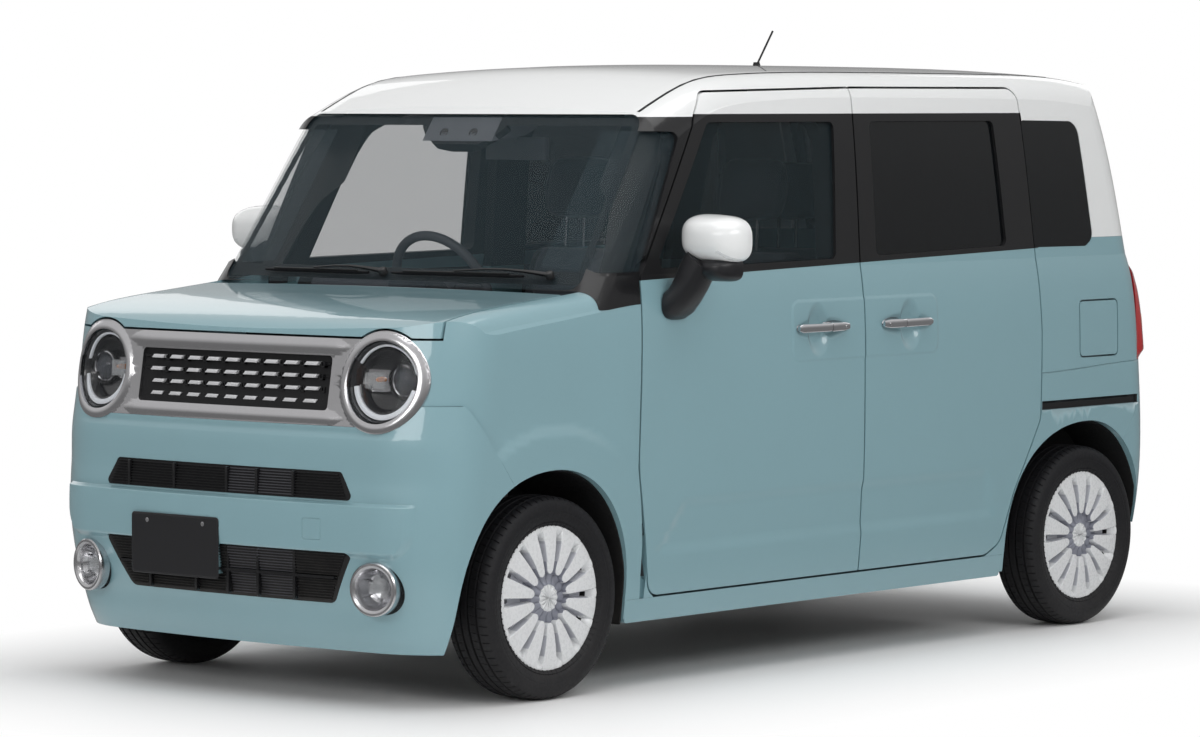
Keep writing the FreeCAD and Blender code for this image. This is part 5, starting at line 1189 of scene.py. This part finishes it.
def swollen(shapes, voxel=0.0125, farthest=0.026):
    "Remeshes and inflates these forms together, no point farther than farthest. Gives each one's points and faces."
    work = []
    graph_of = bpy.context.evaluated_depsgraph_get
    for number, shape in enumerate(shapes):
        mesh = bpy.data.meshes.new("pad_%d" % number)
        mesh.from_pydata([tuple(v) for v in shape.verts], [], shape.faces)
        cleaned(mesh)
        made = into_scene("pad_%d" % number, mesh)
        made.location.x = 5.0 + number
        remesh = made.modifiers.new("remesh", "REMESH")
        remesh.mode, remesh.voxel_size = "VOXEL", voxel
        solid = bpy.data.meshes.new_from_object(made.evaluated_get(graph_of()))
        made.modifiers.clear()
        made.data = solid
        work.append(made)
    rest = [[v.co.copy() for v in made.data.vertices] for made in work]
    for made in work:
        blown = made.modifiers.new("cloth", "CLOTH")
        blown.settings.use_pressure = True
        blown.settings.uniform_pressure_force = 4.0
        blown.settings.quality = 4
        blown.settings.effector_weights.gravity = 0.0
        blown.point_cache.frame_start, blown.point_cache.frame_end = 1, 20
    for frame_number in range(1, 21):
        bpy.context.scene.frame_set(frame_number)
    results = []
    graph = graph_of()
    for made, start in zip(work, rest):
        mesh = bpy.data.meshes.new_from_object(made.evaluated_get(graph))
        points = []
        for vert, was in zip(mesh.vertices, start):
            move = vert.co - was
            if move.length > farthest:
                move = move.normalized() * farthest
            points.append(was + move * 0.8)
        results.append((points, [tuple(p.vertices) for p in mesh.polygons]))
    bpy.context.scene.frame_set(1)
    for made in work:
        made.modifiers.clear()
        bpy.data.objects.remove(made)
    return results


def dip(distance, depth, width):
    return depth * exp(-(distance / width) ** 2)


def sewn(point, kind):
    "How deep the seams pull a point in, and which way."
    x = abs(point.x)
    line = front_half * seam_share
    depth = dip(x - line, 0.0075, 0.0055) + dip(x - front_half * 0.965, 0.005, 0.005)
    if kind == "cushion":
        depth += dip(point.y + 0.06, 0.006, 0.006) * (x < line)
        return Vector((0, 0, -depth)) if point.z > -0.055 else Vector((0, 0, 0))
    if kind == "back":
        return Vector((0, depth + dip(point.z - 0.33, 0.006, 0.006) * (x < line), 0))
    return Vector((0, dip(x - 0.092, 0.0045, 0.005), 0))


def place_pad(name, result, kind, x, y, z, wide=1.0, tall=1.0):
    mesh = bpy.data.meshes.new(name)
    moved = []
    for p in result[0]:
        bolster = 0.012 * ease(abs(p.x), front_half * 0.58, front_half * 0.86)
        q = p + sewn(p, kind)
        if kind == "cushion" and p.z > -0.06:
            q.z += bolster
        elif kind == "back" and p.y < 0.22:
            q.y -= bolster * 1.3
        moved.append((x + q.x * wide, y + q.y, z + q.z * tall))
    mesh.from_pydata(moved, [], result[1])
    mesh.materials.append(cloth_centre)
    mesh.materials.append(cloth_side)
    smooth(mesh)
    line = front_half * wide * seam_share
    mesh.polygons.foreach_set("material_index", [int(abs(poly.center.x - x) > line or kind == "rest")
                                                 for poly in mesh.polygons])
    made = into_scene(name, mesh)
    finer = made.modifiers.new("finer", "SUBSURF")
    finer.levels = finer.render_levels = 1
    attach(made, "body")
    return made


pads = swollen([cushion, backrest, headrest])
for row, node, y, base, half_x, tall, spot, under_base in (
    ("front", "front_seats", -0.0875, 0.64, front_half, front_tall, 0.33, 0.135),
    ("rear", "rear_seat", 0.8425, 0.66, rear_half, rear_tall, 0.255, 0.118),
):
    for x, word in ((-spot, "right"), (spot, "left")):
        wide = half_x / front_half
        made = place_pad("%s_cushion_%s" % (row, word), pads[0], "cushion", x, y, base, wide)
        if word == "right":
            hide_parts(node)
        place_pad("%s_backrest_%s" % (row, word), pads[1], "back", x, y, base, wide, tall / front_tall)
        place_pad("%s_headrest_%s" % (row, word), pads[2], "rest", x, y, base + tall - front_tall)
        posts = Shape()
        for dx in (-0.035, 0.035):
            posts.tube([(x + dx, y + 0.235, base + tall - 0.06), (x + dx, y + 0.242, base + tall + 0.06)],
                       [0.0055] * 2, up=(0, 1, 0))
        posts.tube([(x - 0.15, y + 0.19, base - 0.11), (x + 0.15, y + 0.19, base - 0.11)], [0.01] * 2)
        for dx in (-0.18, 0.18):
            posts.block((x + dx - 0.016, y - 0.24, base - under_base), (x + dx + 0.016, y + 0.2, base - 0.1),
                        0, 0.003)
        posts.made("%s_seat_frame_%s" % (row, word), [chrome_dark], "body")


# Rear fittings: handle strip, wiper and high stop lamp on the tailgate, lamp cells and reflectors

gate_tree = tree_of("tailgate", "tailgate_glass")


def on_gate(x, z, proud):
    return on_face(gate_tree, x, z, proud, 1.66, -1)


rear = Shape()
rear.sheet([[on_gate(x, z, proud) for x in spread(-0.235, 0.235, 0.02)]
            for z, proud in ((0.862, 0.0), (0.86, 0.006), (0.852, 0.009), (0.836, 0.009), (0.826, 0.006),
                             (0.822, 0.0))])
blade = [on_gate(-0.06 + 0.33 * t, 1.232 + 0.028 * t, 0.014) for t in (i / 8 for i in range(9))]
rear.tube(blade, [0.0035] + [0.0055] * 7 + [0.0035], 1, 8)
arm = [on_gate(0.0, 1.19, 0.012), on_gate(0.03, 1.2, 0.02), on_gate(0.09, 1.222, 0.022), blade[4]]
rear.tube(arm, [0.011, 0.0085, 0.006, 0.0045], 2, 10, 0.7)
rear.turned([(0.017, -0.006), (0.017, 0.008), (0.014, 0.014), (0.006, 0.0165), (0.0002, 0.017)],
            on_gate(0.0, 1.188, 0.0), (0, 1, 0.1), 2, 28)
rear.sheet([[on_gate(x, z, proud) for x in spread(-0.11, 0.11, 0.01)]
            for z, proud in ((1.508, 0.0), (1.5072, 0.0015), (1.4968, 0.0015), (1.496, 0.0))], 3)
rear.made("tailgate_fittings", [gloss_black, rubber, gloss_black, red_lens], "tailgate", 30)


def lamp_bulge(p):
    "The tail lamp's lens stands proud round the corner."
    across = ease(abs(p.x), 0.608, 0.655) * ease(p.y, 1.564, 1.596)
    return 0.019 * across * ease(p.z, 0.797, 0.83) * (1 - ease(p.z, 1.06, 1.116))


def lamp_way(p):
    return (copysign(0.7, p.x), 0.714, 0)


lamp_zones = both_sides(((0.6, 1.55, 0.79), (0.74, 1.66, 1.13), (2, spread(0.8, 1.116, 0.012)),
                         (1, spread(1.565, 1.64, 0.009)), (0, spread(0.61, 0.73, 0.01))))
sculpt("tail_lamps", lamp_zones, lamp_bulge, lamp_way, red_lens, "body")

lamp_back, bumper_tree = tree_of("tail_lamps"), tree_of("rear_bumper")
cells = Shape()
for slot, low, high in ((0, 0.815, 0.872), (1, 0.884, 0.942)):
    rows = []
    for k in range(7):
        points = [on_face(lamp_back, x, low + (high - low) * k / 6, 0, 1.62, -1) for x in spread(0.628, 0.716, 0.011)]
        rows.append([p + Vector(lamp_way(p)) * lamp_bulge(p) + Vector((0, 0.0012 if 0 < k < 6 else -0.001, 0))
                     for p in points])
    cells.sheet(rows, slot)
reverse_lens = plain("reverse_lens", (0.62, 0.62, 0.63), 0.15, coat=0.6)
for_sides(cells, "tail_lamp_cells", [reverse_lens, amber], ON_BODY, 30)

reflectors = Shape()
reflectors.sheet([[on_face(bumper_tree, x, z, 0, 1.66, -1) + Vector((0, out, 0)) for x in spread(0.5, 0.6, 0.0125)]
                  for z, out in ((0.485, -0.0005), (0.484, 0.0022), (0.456, 0.0022), (0.455, -0.0005))])
for_sides(reflectors, "rear_reflector", [red_lens], ON_BODY, 30)


# Cabin fittings that show through the glass and the open doors

cabin = Shape()
for x in (-0.235, 0.235):
    for side in (-1, 1):
        middle = x + side * 0.075
        cabin.block((middle - 0.03, -0.66, 0.905), (middle + 0.03, -0.648, 0.945), 0, 0.004)
cabin.block((-0.115, -0.655, 0.845), (0.115, -0.643, 0.985), 1, 0.006)
cabin.block((-0.105, -0.657, 0.86), (0.105, -0.6425, 0.975), 2, 0.002)
cabin.made("dash_fittings", [matte_black, grained, lamp_black], "body", 30)
belts = Shape()
for side in (1, -1):
    belts.solid([[(x + 0.0008 * a, y + 0.023 * b, z) for a, b in ((-1, -1), (1, -1), (1, 1), (-1, 1))]
                 for x, y, z in ((side * 0.64, 0.15, 1.33), (side * 0.64, 0.146, 1.1), (side * 0.636, 0.142, 0.85),
                                 (side * 0.628, 0.14, 0.55))])
    belts.block((side * 0.64 - 0.008, 0.125, 1.32), (side * 0.64 + 0.008, 0.172, 1.362), 1, 0.003)
belts.made("seat_belts", [cloth_side, grained], "body", 30)


# The bright frame round lamps and grille is rounded in section

def frame_crown(p):
    "How far the frame falls back from the middle of its own width."
    x, z = abs(p.x), p.z
    if p.y > -1.4:
        return 0.0
    bars = min(abs(z - 0.946) / 0.0225, abs(z - 0.759) / 0.02) ** 2 + ease(x, 0.35, 0.415)
    ring = (abs(hypot(x - lamp_x, z - 0.8555) - 0.1165) / 0.0175) ** 2
    return 0.007 * min(bars, ring, 1.0)


crown_zones = [((-0.42, -1.72, 0.73), (0.42, -1.6, 0.98),
                (2, spread(0.741, 0.778, 0.0037) + spread(0.924, 0.967, 0.0039)), (0, spread(-0.4, 0.4, 0.04)))]
crown_zones += both_sides(((0.366, -1.72, 0.71), (0.67, -1.5, 1.0), (2, spread(0.722, 0.99, 0.0067)),
                           (0, spread(0.388, 0.656, 0.0067))))
sculpt("grille_surround", crown_zones, frame_crown, backwards, satin, "body")


# Black border printed round the windscreen, and the roof's trim strips

def screen_reach(z):
    "How far out the windscreen goes at this height."
    x = 0.72
    while cast(screen_tree, (x, -2.0, z), (0, 1, 0))[0] is None and x > 0.3:
        x -= 0.004
    return x - 0.002


def printed(x, z):
    return behind_glass(x, z, 0.0058)


border = Shape()
for heights in ((1.5455, 1.54, 1.532, 1.524), (1.132, 1.12, 1.108, 1.098)):
    border.sheet([[printed(screen_reach(z) * t, z) for t in spread(-1, 1, 0.05)] for z in heights])
for side in (1, -1):
    border.sheet([[printed(side * (screen_reach(z) - inset), z) for inset in (0.0, 0.012, 0.024)]
                  for z in spread(1.12, 1.53, 0.02)])
border.made("windscreen_border", [matte_black], "body", 30)

roof_tree = tree_of("roof")
strips = Shape()
rows = []
for y in [-0.664, -0.655, -0.64, -0.62] + spread(-0.6, 1.26, 0.06):
    row = []
    for x, up in ((0.5905, -0.001), (0.5915, 0.0012), (0.5995, 0.0012), (0.6005, -0.001)):
        top = cast(roof_tree, (x, y, 3.0), (0, 0, -1))[0]
        row.append((top if top is not None else Vector((x, y, 1.555))) + Vector((0, 0, up)))
    rows.append(row)
strips.sheet(rows)
for_sides(strips, "roof_strip", [matte_black], ON_BODY, 40)
